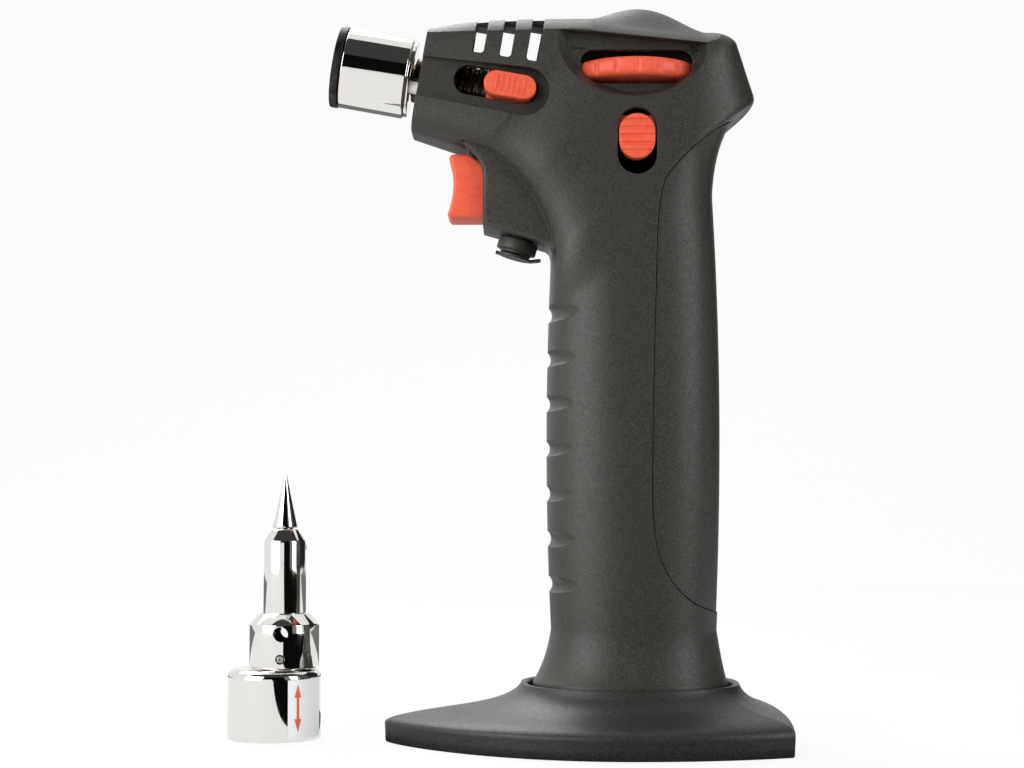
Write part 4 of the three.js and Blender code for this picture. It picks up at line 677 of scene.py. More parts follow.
def mirrored(obj, name):
    """A copy on the other side of the middle plane."""
    twin = copy_of(obj, name)
    twin.data.transform(Matrix.Diagonal((1, -1, 1, 1)))
    twin.data.flip_normals()
    return twin


class Skin:
    """A smooth source surface, its end caps left out, that lends its normals to the faces lying on it."""

    def __init__(self, source):
        base = source.data
        self.points = [v.co.copy() for v in base.vertices]
        self.rings = [tuple(p.vertices) for p in base.polygons if len(p.vertices) == 4]
        self.normals = [Vector() for _ in self.points]
        for face in base.polygons:
            if len(face.vertices) == 4:
                for index in face.vertices:
                    self.normals[index] += face.normal * face.area
        self.tree = BVHTree.FromPolygons(self.points, self.rings)

    def carries(self, face):
        _, normal, _, distance = self.tree.find_nearest(face.center)
        return distance < ON_SKIN * MM and normal.dot(face.normal) > SAME_WAY

    def normal_at(self, place):
        spot, _, face, _ = self.tree.find_nearest(place)
        ring = self.rings[face]
        total = Vector()
        for weight, index in zip(poly_3d_calc([self.points[i] for i in ring], spot), ring):
            total += self.normals[index].normalized() * weight
        return total.normalized()


def follow_skins(obj, skins):
    """Gives the faces that lie on a smooth source surface that surface's own normals."""
    smooth(obj)
    mesh = obj.data
    normals = np.empty(len(mesh.loops) * 3, np.float32)
    mesh.corner_normals.foreach_get("vector", normals)
    normals = normals.reshape(-1, 3)
    known = [{} for _ in skins]
    for face in mesh.polygons:
        for skin, seen in zip(skins, known):
            if skin.carries(face):
                for corner in face.loop_indices:
                    index = mesh.loops[corner].vertex_index
                    if index not in seen:
                        seen[index] = skin.normal_at(mesh.vertices[index].co)
                    normals[corner] = seen[index]
                break
    mesh.normals_split_custom_set(normals)


# Casing: its front and back edges in the side view, walked together from nozzle to foot
def ease(share):
    share = min(1, max(0, share))
    return share * share * (3 - 2 * share)


def mix(a, b, share):
    return a + (b - a) * share


def raised(value, power):
    """A power that keeps the sign."""
    return (1 if value >= 0 else -1) * abs(value) ** power


def swell(away):
    return np.maximum(0, 1 - away * away)


def face_point(z):
    return np.array([HEAD_FACE_X + (z - BURNER_Z) * tan(HEAD_FACE_TILT), z])


def grip_front_x(z):
    return -GRIP_HALF_LENGTH - GRIP_BULGE * swell((z - GRIP_MIDDLE) / GRIP_BULGE_SPAN)


def grip_back_x(z):
    return GRIP_BACK_LENGTH + GRIP_BACK_BULGE * swell((z - GRIP_BACK_MIDDLE) / GRIP_BACK_SPAN)


def grip_edge(edge_x, z_high, z_low):
    z = np.linspace(z_high, z_low, 120)
    return np.column_stack([edge_x(z), z])


def foot_x(side):
    return FOOT_X + side * FOOT_HALF_LENGTH


def flare_edge(side):
    start = grip_front_x(FLARE_TOP) if side < 0 else grip_back_x(FLARE_TOP)
    bend = mix(FLARE_TOP, FOOT_TOP, FLARE_BEND)
    return bezier((start, FLARE_TOP), (start + side * FLARE_BELLY, bend), (foot_x(side), FOOT_TOP))


def foot_edge(side):
    return np.array([(foot_x(side), FOOT_TOP), (foot_x(side), FOOT_BOTTOM)])


def bend_between(start, end, handles):
    """A curve between two points, its handles given as shares of the way along and down."""
    start, end = np.array(start), np.array(end)
    first, second = (start + (end - start) * np.array(handle) for handle in handles)
    return bezier(start, first, second, end)


def chin_edge():
    return np.array([face_point(CHIN_FRONT_Z), (BLOCK_FRONT_X, CHIN_REAR_Z)])


def chin_z(x):
    start, end = chin_edge()
    return mix(start[1], end[1], (x - start[0]) / (end[0] - start[0]))


def throat_edge():
    end = (grip_front_x(THROAT_END_Z), THROAT_END_Z)
    return bend_between((BLOCK_FRONT_X, CHIN_REAR_Z), end, THROAT_BEND)


def crown_front_edge():
    return np.array([face_point(BOX_TOP), (BOX_TURN_X, BOX_TOP)])


def crown_back_edge():
    """Over the hump and down the back of the head; the roof then trims its top."""
    down = HEAD_BACK_LOW - HEAD_BACK_TOP
    down = down / np.linalg.norm(down) * HEAD_BACK_ROUND
    x, z = HEAD_BACK_TOP
    roof_end = (HUMP_X + HUMP_HALF_LENGTH + x - HEAD_BACK_ROUND) / 2
    over = np.array([(BOX_TURN_X, BOX_TOP), (HUMP_X, BOX_TOP + HUMP_HEIGHT),
                     (HUMP_X + HUMP_HALF_LENGTH / 2, BOX_TOP + HUMP_HEIGHT / 2)])
    top = bezier((roof_end, z + CROWN_COVER), (x, z + CROWN_COVER / 2), HEAD_BACK_TOP + down)
    low = bezier(HEAD_BACK_LOW - down, HEAD_BACK_LOW, UNDERCUT_START)
    return np.vstack([over, top, low])


def undercut_edge():
    return bend_between(UNDERCUT_START, (grip_back_x(UNDERCUT_END_Z), UNDERCUT_END_Z), UNDERCUT_BEND)


# The runs of sections: front edge, back edge, steps, half-width, squareness and widest place
def casing_runs():
    return [
        (chin_edge(), crown_front_edge(), 26,
         lambda s: mix(HEAD_FRONT_HALF_WIDTH, NOSE_BACK_HALF_WIDTH, s),
         lambda s: (NOSE_POWER, NOSE_POWER), lambda s: mix(MIDWAY, WIDEST, s)),
        (throat_edge(), crown_back_edge(), 120,
         lambda s: mix(NOSE_BACK_HALF_WIDTH, HEAD_HALF_WIDTH, ease(2 * s)),
         lambda s: (mix(NOSE_POWER, THROAT_POWER, s), mix(NOSE_POWER, BACK_POWER, ease(2 * s - 1))),
         lambda s: WIDEST),
        (grip_edge(grip_front_x, THROAT_END_Z, THUMB_Z), undercut_edge(), 40,
         lambda s: HEAD_HALF_WIDTH,
         lambda s: (mix(THROAT_POWER, GRIP_POWER, ease(s)), BACK_POWER), lambda s: WIDEST),
        (grip_edge(grip_front_x, THUMB_Z, FLARE_TOP), grip_edge(grip_back_x, UNDERCUT_END_Z, FLARE_TOP), 80,
         lambda s: mix(HEAD_HALF_WIDTH, GRIP_HALF_WIDTH, ease(s)),
         lambda s: (GRIP_POWER, mix(BACK_POWER, GRIP_POWER, ease(s))), lambda s: mix(WIDEST, MIDWAY, s)),
        (flare_edge(-1), flare_edge(1), 24,
         lambda s: mix(GRIP_HALF_WIDTH, FOOT_HALF_WIDTH, s * s),
         lambda s: (GRIP_POWER, GRIP_POWER), lambda s: MIDWAY),
        (foot_edge(-1), foot_edge(1), 4,
         lambda s: FOOT_HALF_WIDTH, lambda s: (GRIP_POWER, GRIP_POWER), lambda s: MIDWAY),
    ]


def drawn_in(edge, turn, inset):
    """An edge moved inwards, with its two ends drawn in as well."""
    along = unit_rows(np.gradient(edge, axis=0))
    moved = edge + turned_left(along) * turn * inset
    moved[0] += along[0] * inset
    moved[-1] -= along[-1] * inset
    return moved


def casing_form(name, inset, around, detail=1.0):
    fronts, backs, sections = [], [], []
    for index, (front, back, steps, half, power, widest) in enumerate(casing_runs()):
        steps = max(1, round(steps * detail))
        first = 1 if index else 0
        fronts.extend(resample(front, steps)[first:])
        backs.extend(resample(back, steps)[first:])
        shares = [i / steps for i in range(first, steps + 1)]
        sections.extend((half(s), power(s), widest(s)) for s in shares)
    fronts = drawn_in(np.array(fronts), 1, inset)
    backs = drawn_in(np.array(backs), -1, inset)
    loops = []
    for front, back, (half, power, widest) in zip(fronts, backs, sections):
        loop = []
        for k in range(around):
            angle = 2 * pi * k / around
            c, s = cos(angle), sin(angle)
            exponent = 2 / power[0 if c < 0 else 1]
            reach = abs(c) ** exponent
            along = widest * (1 - reach) if c < 0 else mix(widest, 1, reach)
            side = raised(s, exponent) * (half - inset)
            spot = front + (back - front) * along
            loop.append((spot[0], side if abs(s) > NEARLY_NONE else 0.0, spot[1]))
        loops.append(loop)
    return skinned(name, loops)


def roof_height(x, y):
    """The roof of the head: level over the nose, with a hump above the flow wheel."""
    start = face_point(CROWN_Z)[0]
    front = np.clip((BOX_TURN_X - x) / (BOX_TURN_X - start), 0, 1)
    along = np.clip((x - BOX_TURN_X) / (2 * HUMP_HALF_LENGTH), 0, 1)
    crown = CROWN_Z - CROWN_FRONT_DROP * front ** CROWN_FRONT_POWER - CROWN_FALL * along
    shoulder = mix(SHOULDER_Z, SHOULDER_FRONT_Z, front) - SHOULDER_FALL * along
    half_width = mix(ROOF_HALF_WIDTH, ROOF_FRONT_HALF_WIDTH, front)
    hump = HUMP_HEIGHT * swell(2 * along - 1) ** HUMP_POWER * swell(y / HUMP_HALF_WIDTH) ** 2
    return mix(crown, shoulder, (abs(y) / half_width) ** ROOF_POWER) + hump


def roof_form(name, inset):
    """Everything under the roof, reaching past the head on all sides."""
    span = ROOF_SPREAD * ROOF_HALF_WIDTH
    end = HUMP_X + HUMP_HALF_LENGTH
    stations = [*np.linspace(HEAD_FACE_X - span, BOX_TURN_X, 50), *np.linspace(BOX_TURN_X, end, 61)[1:],
                *np.linspace(end, HEAD_BACK_LOW[0] + span, 12)[1:]]
    across = np.linspace(-span, span, 81)
    loops = [[(x, span, 0), (x, -span, 0), *((x, y, roof_height(x, y) - inset) for y in across)]
             for x in stations]
    return skinned(name, loops)


def block_outline(inset):
    """Side view of the trigger block, with a web under the nose and a heel against the grip."""
    lift = inset / cos(BLOCK_SLOPE)
    front = BLOCK_FRONT_X + inset
    reach, height = BLOCK_WEB
    top = CHIN_REAR_Z + BLOCK_SINK
    web_top = min(top - SEAM, chin_z(front - reach) + BLOCK_WALL / 2)
    web = bezier((front - reach, web_top), (front, CHIN_REAR_Z - height / 4), (front, CHIN_REAR_Z - height),
                 steps=12)
    points = [*map(tuple, web), (front, underside_z(front) + lift)]
    if inset:
        points.append((BLOCK_BACK_X, underside_z(BLOCK_BACK_X) + lift))
    else:
        grip = grip_front_x(THROAT_END_Z)
        low = underside_z(grip) - BLOCK_HEEL
        points.extend(map(tuple, bezier((grip - BLOCK_HEEL, underside_z(grip - BLOCK_HEEL)),
                                        (grip, underside_z(grip)), (grip, low), steps=8)))
        points.append((BLOCK_BACK_X, low))
    return [*points, (BLOCK_BACK_X, top), (front - reach, top)]


def cover_outline(gap):
    """The region behind the seam of the tank cover, moved forwards by a gap."""
    seam = resample(spline(COVER_SEAM), 140)
    seam = seam - turned_left(unit_rows(np.gradient(seam, axis=0))) * gap
    beyond = HEAD_BACK_LOW[0] + WALL
    return [(beyond, seam[0][1]), *map(tuple, seam), (beyond, seam[-1][1])]


def moon_outline(grow):
    """The half-moon of the wheel's recess, its straight edge on top, grown by a share of its draft."""
    points = []
    for angle in np.linspace(pi, 2 * pi, 65):
        x = (MOON_HALF_LENGTH + grow * MOON_END_DRAFT) * cos(angle) - grow * MOON_FLOOR_SHIFT
        z = (MOON_DEPTH + grow * MOON_DRAFT) * sin(angle)
        points.append((MOON_X + x * cos(MOON_TILT) - z * sin(MOON_TILT),
                       MOON_Z + x * sin(MOON_TILT) + z * cos(MOON_TILT)))
    return points


def moon_cut():
    """The drafted recess on the near side."""
    rows = [(-1, MOON_FLOOR), (0, HEAD_HALF_WIDTH), (0, 2 * HEAD_HALF_WIDTH)]
    return skinned("moon_cut", [[(x, -y, z) for x, z in moon_outline(grow)] for grow, y in rows])


def moon_pan():
    """The wall behind the recess, reaching a little above its straight edge."""
    outline = moon_outline(PAN_WALL / MOON_DRAFT - 1)
    return [*outline, (outline[-1][0], outline[-1][1] + PAN_WALL), (outline[0][0], outline[0][1] + PAN_WALL)]


def wheel_slot():
    low = WHEEL_Z - WHEEL_THICKNESS / 2 - WHEEL_SLOT_BOTTOM
    high = WHEEL_Z + WHEEL_THICKNESS / 2 + WHEEL_SLOT_TOP
    middle = WHEEL_RADIUS + WHEEL_SLOT_RADIAL - WHEEL_SLOT_ROUND
    profile = [(0, low), *arc((middle, low + WHEEL_SLOT_ROUND), WHEEL_SLOT_ROUND, -pi / 2, 0, 12),
               *arc((middle, high - WHEEL_SLOT_ROUND), WHEEL_SLOT_ROUND, 0, pi / 2, 12), (0, high)]
    return lathe("wheel_slot", profile, 128, 0, Matrix.Translation((WHEEL_X, 0, 0)))


def channel_outline(grow):
    middle = (CHANNEL_LOW + CHANNEL_HIGH) / 2
    return [(-CHANNEL_RUN_OUT, CHANNEL_HIGH + grow), (-CHANNEL_RUN_OUT, CHANNEL_LOW - grow),
            *arc((CHANNEL_END, middle), CHANNEL_END_RADIUS + grow, -pi / 2, pi / 2, 40)]


def vent_cuts(index):
    """One vent: a slot on each side and a passage under the strip of roof between them."""
    middle = VENT_FIRST + index * VENT_PITCH
    front, back = middle - VENT_WIDTH / 2, middle + VENT_WIDTH / 2
    strip = (CROWN_Z - VENT_STRIP - BURNER_Z + middle * sin(BURNER_TILT)) / cos(BURNER_TILT)
    sill = VENT_LOW + VENT_ROUND
    bottom = (arc((front + VENT_ROUND, sill), VENT_ROUND, pi, 1.5 * pi, 6)
              + arc((back - VENT_ROUND, sill), VENT_ROUND, 1.5 * pi, 2 * pi, 6))
    rake = Matrix.Identity(4)
    rake[0][1] = -VENT_RAKE
    rake[0][3] = -VENT_RAKE * HEAD_HALF_WIDTH
    side = [*bottom, (back, VENT_HIGH), (front, VENT_HIGH)]
    under = [*bottom, (back, strip), (front, strip)]
    middle_half = VENT_SPINE + SEAM
    return [slab("far_vent", side, VENT_SPINE, FAR, matrix=BURNER @ rake),
            slab("near_vent", side, -FAR, -VENT_SPINE, matrix=BURNER @ rake),
            slab("passage", under, -middle_half, middle_half, matrix=BURNER @ rake)]


def groove_cut(index):
    z = GROOVE_LOWEST + index * GROOVE_PITCH
    middle = grip_front_x(z) + GROOVE_DEPTH + GROOVE_SWEEP
    sweep = GROOVE_SWEEP + GROOVE_ROUND
    turns = np.radians(np.linspace(-GROOVE_SPREAD, GROOVE_SPREAD, 11))
    return wire("groove_cut", [(middle - sweep * cos(a), sweep * sin(a), z) for a in turns], GROOVE_ROUND, 28)


def screw_hole(x, z, seat):
    profile = stepped(0, -SCREW_BITE - FIT, SCREW_RADIUS + FIT, seat, SCREW_HEAD_RADIUS + FIT, FAR, 0)
    return lathe("screw_hole", profile, 32, 0, Matrix.Translation((x, 0, z)), "Y")


def screw_boss(x, z):
    return lathe("screw_boss", rod(SCREW_BOSS_RADIUS, -FAR, FAR), 32, 0, Matrix.Translation((x, 0, z)), "Y")


def lock_slot_outline():
    return upright_stadium(LOCK_X, LOCK_HALF_WIDTH + LOCK_SIDE_GAP,
                           LOCK_Z - LOCK_HALF_HEIGHT - LOCK_TRAVEL - LOCK_SIDE_GAP,
                           LOCK_Z + LOCK_HALF_HEIGHT + LOCK_TOP_GAP)


def casing_shell(form, roof):
    """The moulded casing, still in one piece: walls, recesses, slots, vents and grooves."""
    body = copy_of(form, "body")
    trim(body, copy_of(roof, "roof_trim"))
    join(body, slab("block", block_outline(0), -BLOCK_HALF_WIDTH, BLOCK_HALF_WIDTH, BLOCK_ROUND))
    solid = copy_of(body, "solid")
    hollow = casing_form("hollow", WALL, HOLLOW_AROUND, HOLLOW_DETAIL)
    trim(hollow, roof_form("inner_roof", WALL))
    inner_half = BLOCK_HALF_WIDTH - BLOCK_WALL
    join(hollow, slab("inner_block", block_outline(BLOCK_WALL), -inner_half, inner_half))
    cut(body, hollow)
    pans = slab("moon_pan", moon_pan(), -FAR, PAN_WALL - MOON_FLOOR)
    join(pans, mirrored(pans, "far_pan"),
         slab("channel_pan", channel_outline(PAN_WALL), -FAR, PAN_WALL - CHANNEL_FLOOR, matrix=BURNER),
         *(screw_boss(x, z) for x, z, _ in SCREW_SPOTS))
    trim(pans, solid)
    join(body, pans)
    recess = moon_cut()
    air_slot = stadium(AIR_SLOT_FRONT, AIR_SLOT_BACK, AIR_SLOT_HALF_HEIGHT)
    cut(body, mirrored(recess, "far_recess"), recess, wheel_slot(),
        slab("channel", channel_outline(0), -FAR, -CHANNEL_FLOOR, matrix=BURNER),
        slab("air_slot", air_slot, -FAR, -SLEEVE_OUTER, matrix=BURNER),
        slab("lock_slot", lock_slot_outline(), -FAR, -HEAD_HALF_WIDTH / 2),
        *(vent for k in range(VENT_COUNT) for vent in vent_cuts(k)),
        *(groove_cut(k) for k in range(GROOVE_COUNT)))
    drill(body, COLLAR_RADIUS + FIT, -HOLE_REACH, 2 * WALL, 64, BURNER, "X")
    drill(body, INSULATOR_RADIUS + FIT, -HOLE_REACH, 2 * WALL, 32, BESIDE_BURNER, "X")
    drill(body, FILLER_NECK + FIT, -WALL, 2 * WALL, 48, FILLER, "Z")
    half = TRIGGER_HALF_WIDTH + RUNNING_FIT
    cut(body, block("trigger_well", (TRIGGER_FRONT_X - WELL_MARGIN, -half, TRIGGER_BOTTOM - RUNNING_FIT),
                    (TRIGGER_BACK_X + TRIGGER_TRAVEL + WELL_MARGIN, half, TRIGGER_TOP + 2 * RUNNING_FIT)),
        *(screw_hole(*spot) for spot in SCREW_SPOTS),
        slab("cover_region", cover_outline(COVER_GAP), -FAR, FAR))
    return body


def build_casing():
    form = casing_form("form", 0, CASING_AROUND)
    roof = roof_form("roof", 0)
    skins = [Skin(form), Skin(roof)]
    left = casing_shell(form, roof)
    left.name = "left_casing"
    right = copy_of(left, "right_casing")
    trim(right, block("far_half", (-2 * FAR, SEAM / 2, -FAR), (2 * FAR, 2 * FAR, 5 * FAR)))
    trim(left, block("near_half", (-2 * FAR, -2 * FAR, -FAR), (2 * FAR, -SEAM / 2, 5 * FAR)))
    for piece, node in ((left, "left_housing"), (right, "right_housing")):
        follow_skins(piece, skins)
        settle(piece, "torch", "black_plastic", node, angle=None)
    cover_form = casing_form("cover_form", COVER_STEP, CASING_AROUND)
    cover = copy_of(cover_form, "rear_cover")
    cut(cover, casing_form("cover_hollow", WALL, HOLLOW_AROUND, HOLLOW_DETAIL))
    trim(cover, slab("cover_keep", cover_outline(0), -FAR, FAR))
    follow_skins(cover, [Skin(cover_form)])
    settle(cover, "torch", "black_plastic", "tank_cover", angle=None)
    for spare in (form, roof, cover_form):
        discard(spare)


# Stand
def stand_outline(angle, inset):
    """The pointed nose, the long sides and the blunt back with its two corners."""
    c, s = cos(angle), sin(angle)
    half = STAND_HALF_WIDTH - inset
    sign = 1 if c >= 0 else -1
    if s < 0:
        reach = STAND_FRONT + STAND_WIDEST_X - inset
        return np.array([STAND_WIDEST_X + reach * s, half * raised(c, STAND_NOSE_POWER)])
    turn = np.arcsin(min(1, s)) / (pi / 2)
    corner_x, corner_y = STAND_CORNER_X - inset, STAND_CORNER_Y - inset
    if turn <= STAND_CORNER_TURN:
        share = turn / STAND_CORNER_TURN
        return np.array([mix(STAND_WIDEST_X, corner_x, share),
                         sign * mix(half, corner_y, share ** STAND_SIDE_POWER)])
    left = (1 - turn) / (1 - STAND_CORNER_TURN)
    return np.array([mix(STAND_BACK - inset, corner_x, left * left), sign * corner_y * left])


def socket_oval(angle, grow):
    power = 2 / GRIP_POWER
    length = FOOT_HALF_LENGTH + COLLAR_GAP + grow
    width = FOOT_HALF_WIDTH + COLLAR_GAP + grow
    return np.array([FOOT_X + length * raised(sin(angle), power), width * raised(cos(angle), power)])


STAND_ANGLES = np.linspace(0, 2 * pi, STAND_AROUND, endpoint=False)


def stand_loop(share, inset, z, swelling=0.0):
    loop = []
    for angle in STAND_ANGLES:
        x, y = mix(stand_outline(angle, inset), socket_oval(angle, COLLAR_LIP - inset), share)
        loop.append((x, y, z + swelling * max(0, x / STAND_BACK)))
    return loop


def socket_loop(grow, z):
    return [(*socket_oval(a, grow), z) for a in STAND_ANGLES]


def build_stand():
    rise = bezier(*STAND_RISE, steps=40)
    top = [stand_loop(x, 0, mix(STAND_RIM, COLLAR_HEIGHT, y), 4 * y * (1 - y) * STAND_BACK_SWELL)
           for x, y in rise[::-1]]
    lip = [socket_loop(COLLAR_LIP / 2 * (1 - cos(a)), COLLAR_HEIGHT - COLLAR_ROUND + COLLAR_ROUND * sin(a))
           for a in np.linspace(0, pi / 2, 5)]
    rim = [stand_loop(0, STAND_DRAFT * share, mix(STAND_RIM, STAND_TOE, share))
           for share in STAND_RIM_STEPS]
    toe = [stand_loop(0, 2 * STAND_DRAFT, STAND_TOE), stand_loop(0, WALL, STAND_TOE)]
    under = [stand_loop(0, WALL, SOCKET_UNDERSIDE)]
    loops = [socket_loop(0, SOCKET_FLOOR_Z), *lip, *top, *rim, *toe, *under]
    settle(skinned("stand_body", loops), "stand", "stand_plastic", "stand_shell", angle=BROAD_ANGLE)


# Burner
def on_burner(name, profile, slot, node, segments=96, round_by=0.25, place=BURNER):
    settle(lathe(name, profile, segments, round_by, place, "X"), "torch", slot, node)


def build_burner():
    ring_back = TUBE_FRONT - FIT
    bore = TUBE_RADIUS - TUBE_WALL
    skirt = bore - FIT
    on_burner("mouth_band", stepped(RING_RADIUS - RING_LIP, ring_back - RING_LENGTH, RING_RADIUS, ring_back,
                                    skirt, ring_back + RING_SKIRT, skirt - RING_SKIRT_WALL),
              "stained_steel", "mouth_ring", 128)
    step, step_length = TUBE_STEP
    step_front = TUBE_REAR - step_length
    profile = [*stepped(bore, TUBE_FRONT, TUBE_RADIUS, step_front),
               (TUBE_RADIUS - step, step_front + TUBE_STEP_SLOPE),
               *stepped(TUBE_RADIUS - step, TUBE_REAR, SPIGOT_RADIUS + FIT, WEB_FRONT, bore)]
    tube = lathe("burner_tube", profile, 128, 0.2, BURNER, "X")
    drill(tube, INSULATOR_RADIUS + FIT, WEB_FRONT - 1, TUBE_REAR + 1, 32, BESIDE_BURNER, "X")
    settle(tube, "torch", "chrome", "flame_tube")
    nozzle_front = WEB_FRONT - NOZZLE_LENGTH
    profile = stepped(NOZZLE_MOUTH, nozzle_front, NOZZLE_RADIUS, WEB_FRONT - FIT, SPIGOT_RADIUS,
                      INSULATOR_BACK, NOZZLE_BORE, nozzle_front + NOZZLE_MOUTH_DEPTH, NOZZLE_MOUTH)
    on_burner("nozzle_body", profile, "brass", "burner_nozzle")
    collar_bore = SPIGOT_RADIUS + FIT
    on_burner("collar_body", stepped(collar_bore, COLLAR_FRONT, COLLAR_RADIUS, COLLAR_BACK, collar_bore),
              "dark_metal", "burner_collar")
    pin_hole = ELECTRODE_RADIUS + FIT
    profile = stepped(pin_hole, INSULATOR_FRONT, INSULATOR_RADIUS, INSULATOR_BACK, pin_hole)
    on_burner("insulator_body", profile, "ceramic", "electrode_insulator", 48, 0.3, BESIDE_BURNER)
    pin = wire("spark_pin", [*((x, INSULATOR_SIDE, INSULATOR_DROP)
                               for x in (INSULATOR_BACK, INSULATOR_FRONT, nozzle_front + ELECTRODE_BEND)),
                             (nozzle_front - ELECTRODE_REACH, ELECTRODE_TURN * INSULATOR_SIDE,
                              ELECTRODE_TURN * INSULATOR_DROP)], ELECTRODE_RADIUS, 16, BURNER)
    settle(pin, "torch", "steel", "electrode")
    mixer = stepped(MIXER_BORE, MIXER_FRONT, MIXER_RADIUS)
    low = MIXER_RADIUS - MIXER_GROOVE_DEPTH
    for k in range(MIXER_GROOVES):
        start = AIR_SLOT_FRONT + k * MIXER_GROOVE_PITCH
        end = start + MIXER_GROOVE_WIDTH
        mixer += [(MIXER_RADIUS, start), (low, start + MIXER_GROOVE_SIDE), (low, end - MIXER_GROOVE_SIDE),
                  (MIXER_RADIUS, end)]
    mixer += stepped(MIXER_RADIUS, MIXER_BACK, MIXER_BORE)
    on_burner("mixer_body", mixer, "dark_metal", "mixing_tube", round_by=0.1)


# Air slider
def build_air_slider():
    front = KNOB_MIDDLE - SLEEVE_LENGTH / 2
    profile = stepped(SLEEVE_INNER, front, SLEEVE_OUTER, front + SLEEVE_LENGTH, SLEEVE_INNER)
    sleeve = lathe("sleeve_body", profile, 96, 0.2, BURNER, "X")
    settle(sleeve, "air_slider", "steel", "air_sleeve")
    outline = stadium(KNOB_MIDDLE - KNOB_LENGTH / 2, KNOB_MIDDLE + KNOB_LENGTH / 2, KNOB_HALF_HEIGHT)
    knob = slab("knob_body", outline, -KNOB_FACE, -SLEEVE_OUTER - FIT, KNOB_ROUND, matrix=BURNER)
    rib_half = KNOB_HALF_HEIGHT - KNOB_RIB_MARGIN - KNOB_ROUND
    for k in range(KNOB_RIBS):
        x = KNOB_MIDDLE + (k - (KNOB_RIBS - 1) / 2) * KNOB_RIB_PITCH
        rib = slab("rib", upright_stadium(x, KNOB_RIB_WIDTH / 2, -rib_half, rib_half),
                   -KNOB_FACE - KNOB_RIB_HEIGHT, -KNOB_FACE + KNOB_ROUND, KNOB_RIB_WIDTH / 4, matrix=BURNER)
        join(knob, rib)
    shoe_top = CHANNEL_FLOOR - PAN_WALL - FIT
    shoe_half = AIR_SLOT_HALF_HEIGHT + SHOE_OVERHANG
    join(knob, block("shoe", (front, -shoe_top, -shoe_half),
                     (front + SLEEVE_LENGTH, -SLEEVE_OUTER - FIT, shoe_half), BURNER))
    settle(knob, "air_slider", "orange_plastic", "air_knob")


# Flow wheel
def wheel_radius(angle, height):
    """Radius of the rim at a height from its middle, with a scooped notch at every step."""
    inner = WHEEL_THICKNESS / 2 - WHEEL_ROUND
    over = max(0.0, abs(height) - inner)
    rim = WHEEL_RADIUS - WHEEL_ROUND + sqrt(max(0.0, WHEEL_ROUND ** 2 - over ** 2))
    step = 2 * pi / WHEEL_NOTCHES
    away = abs((angle / step + 0.5) % 1 - 0.5) * step * WHEEL_RADIUS
    if away < WHEEL_NOTCH_HALF_WIDTH:
        share = away / WHEEL_NOTCH_HALF_WIDTH
        rim = min(rim, WHEEL_RADIUS - WHEEL_NOTCH_DEPTH * (1 - share * share))
    return rim


def build_flow_wheel():
    top = WHEEL_THICKNESS / 2
    around = WHEEL_NOTCHES * WHEEL_NOTCH_STEPS
    angles = [2 * pi * k / around for k in range(around)]

    def ring(radius, z):
        return [(WHEEL_X + radius(a, z) * cos(a), radius(a, z) * sin(a), WHEEL_Z + z) for a in angles]

    def bore(angle, height):
        return WHEEL_BORE

    rim = [ring(wheel_radius, top * sin(a)) for a in np.linspace(-pi / 2, pi / 2, 25)]
    wheel = skinned("wheel_body", [ring(bore, -top), *rim, ring(bore, top)], closed=True)
    settle(wheel, "flow_wheel", "orange_plastic", "flow_wheel", angle=BROAD_ANGLE)


# Ribs in the middle plane, above and below the wheel, that close the view through its slots
def build_ribs():
    half = WHEEL_THICKNESS / 2 + RIB_GAP
    for place, low, high in (("lower", RIB_LOW, WHEEL_Z - half), ("upper", WHEEL_Z + half, RIB_HIGH)):
        for side, start, end in (("front", -RIB_HALF_LENGTH, -RIB_SPINDLE_GAP),
                                 ("back", RIB_SPINDLE_GAP, RIB_HALF_LENGTH)):
            rib = block(f"{place}_{side}_rib", (WHEEL_X + start, -RIB_HALF_THICKNESS, low),
                        (WHEEL_X + end, RIB_HALF_THICKNESS, high))
            settle(rib, "torch", "black_plastic")


# Lock button
def build_lock():
    low, high = LOCK_Z - LOCK_HALF_HEIGHT, LOCK_Z + LOCK_HALF_HEIGHT
    outline = upright_stadium(LOCK_X, LOCK_HALF_WIDTH, low, high)
    button = slab("lock_body", outline, -LOCK_FACE, LOCK_ROOT - LOCK_PLATE_OUTER, LOCK_ROUND)
    for k in range(LOCK_RIBS):
        z = LOCK_Z + (k - (LOCK_RIBS - 1) / 2) * LOCK_RIB_PITCH
        place = Matrix.Translation((0, -LOCK_FACE + LOCK_RIB_DEPTH - LOCK_RIB_ROUND, z))
        drill(button, LOCK_RIB_ROUND, -FAR, FAR, 24, place, "X")
    half = LOCK_HALF_WIDTH + LOCK_PLATE_MARGIN
    join(button, block("plate", (LOCK_X - half, -LOCK_PLATE_OUTER, LOCK_Z),
                       (LOCK_X + half, LOCK_PLATE - LOCK_PLATE_OUTER, high)))
    settle(button, "lock_button", "orange_plastic", "lock_button")


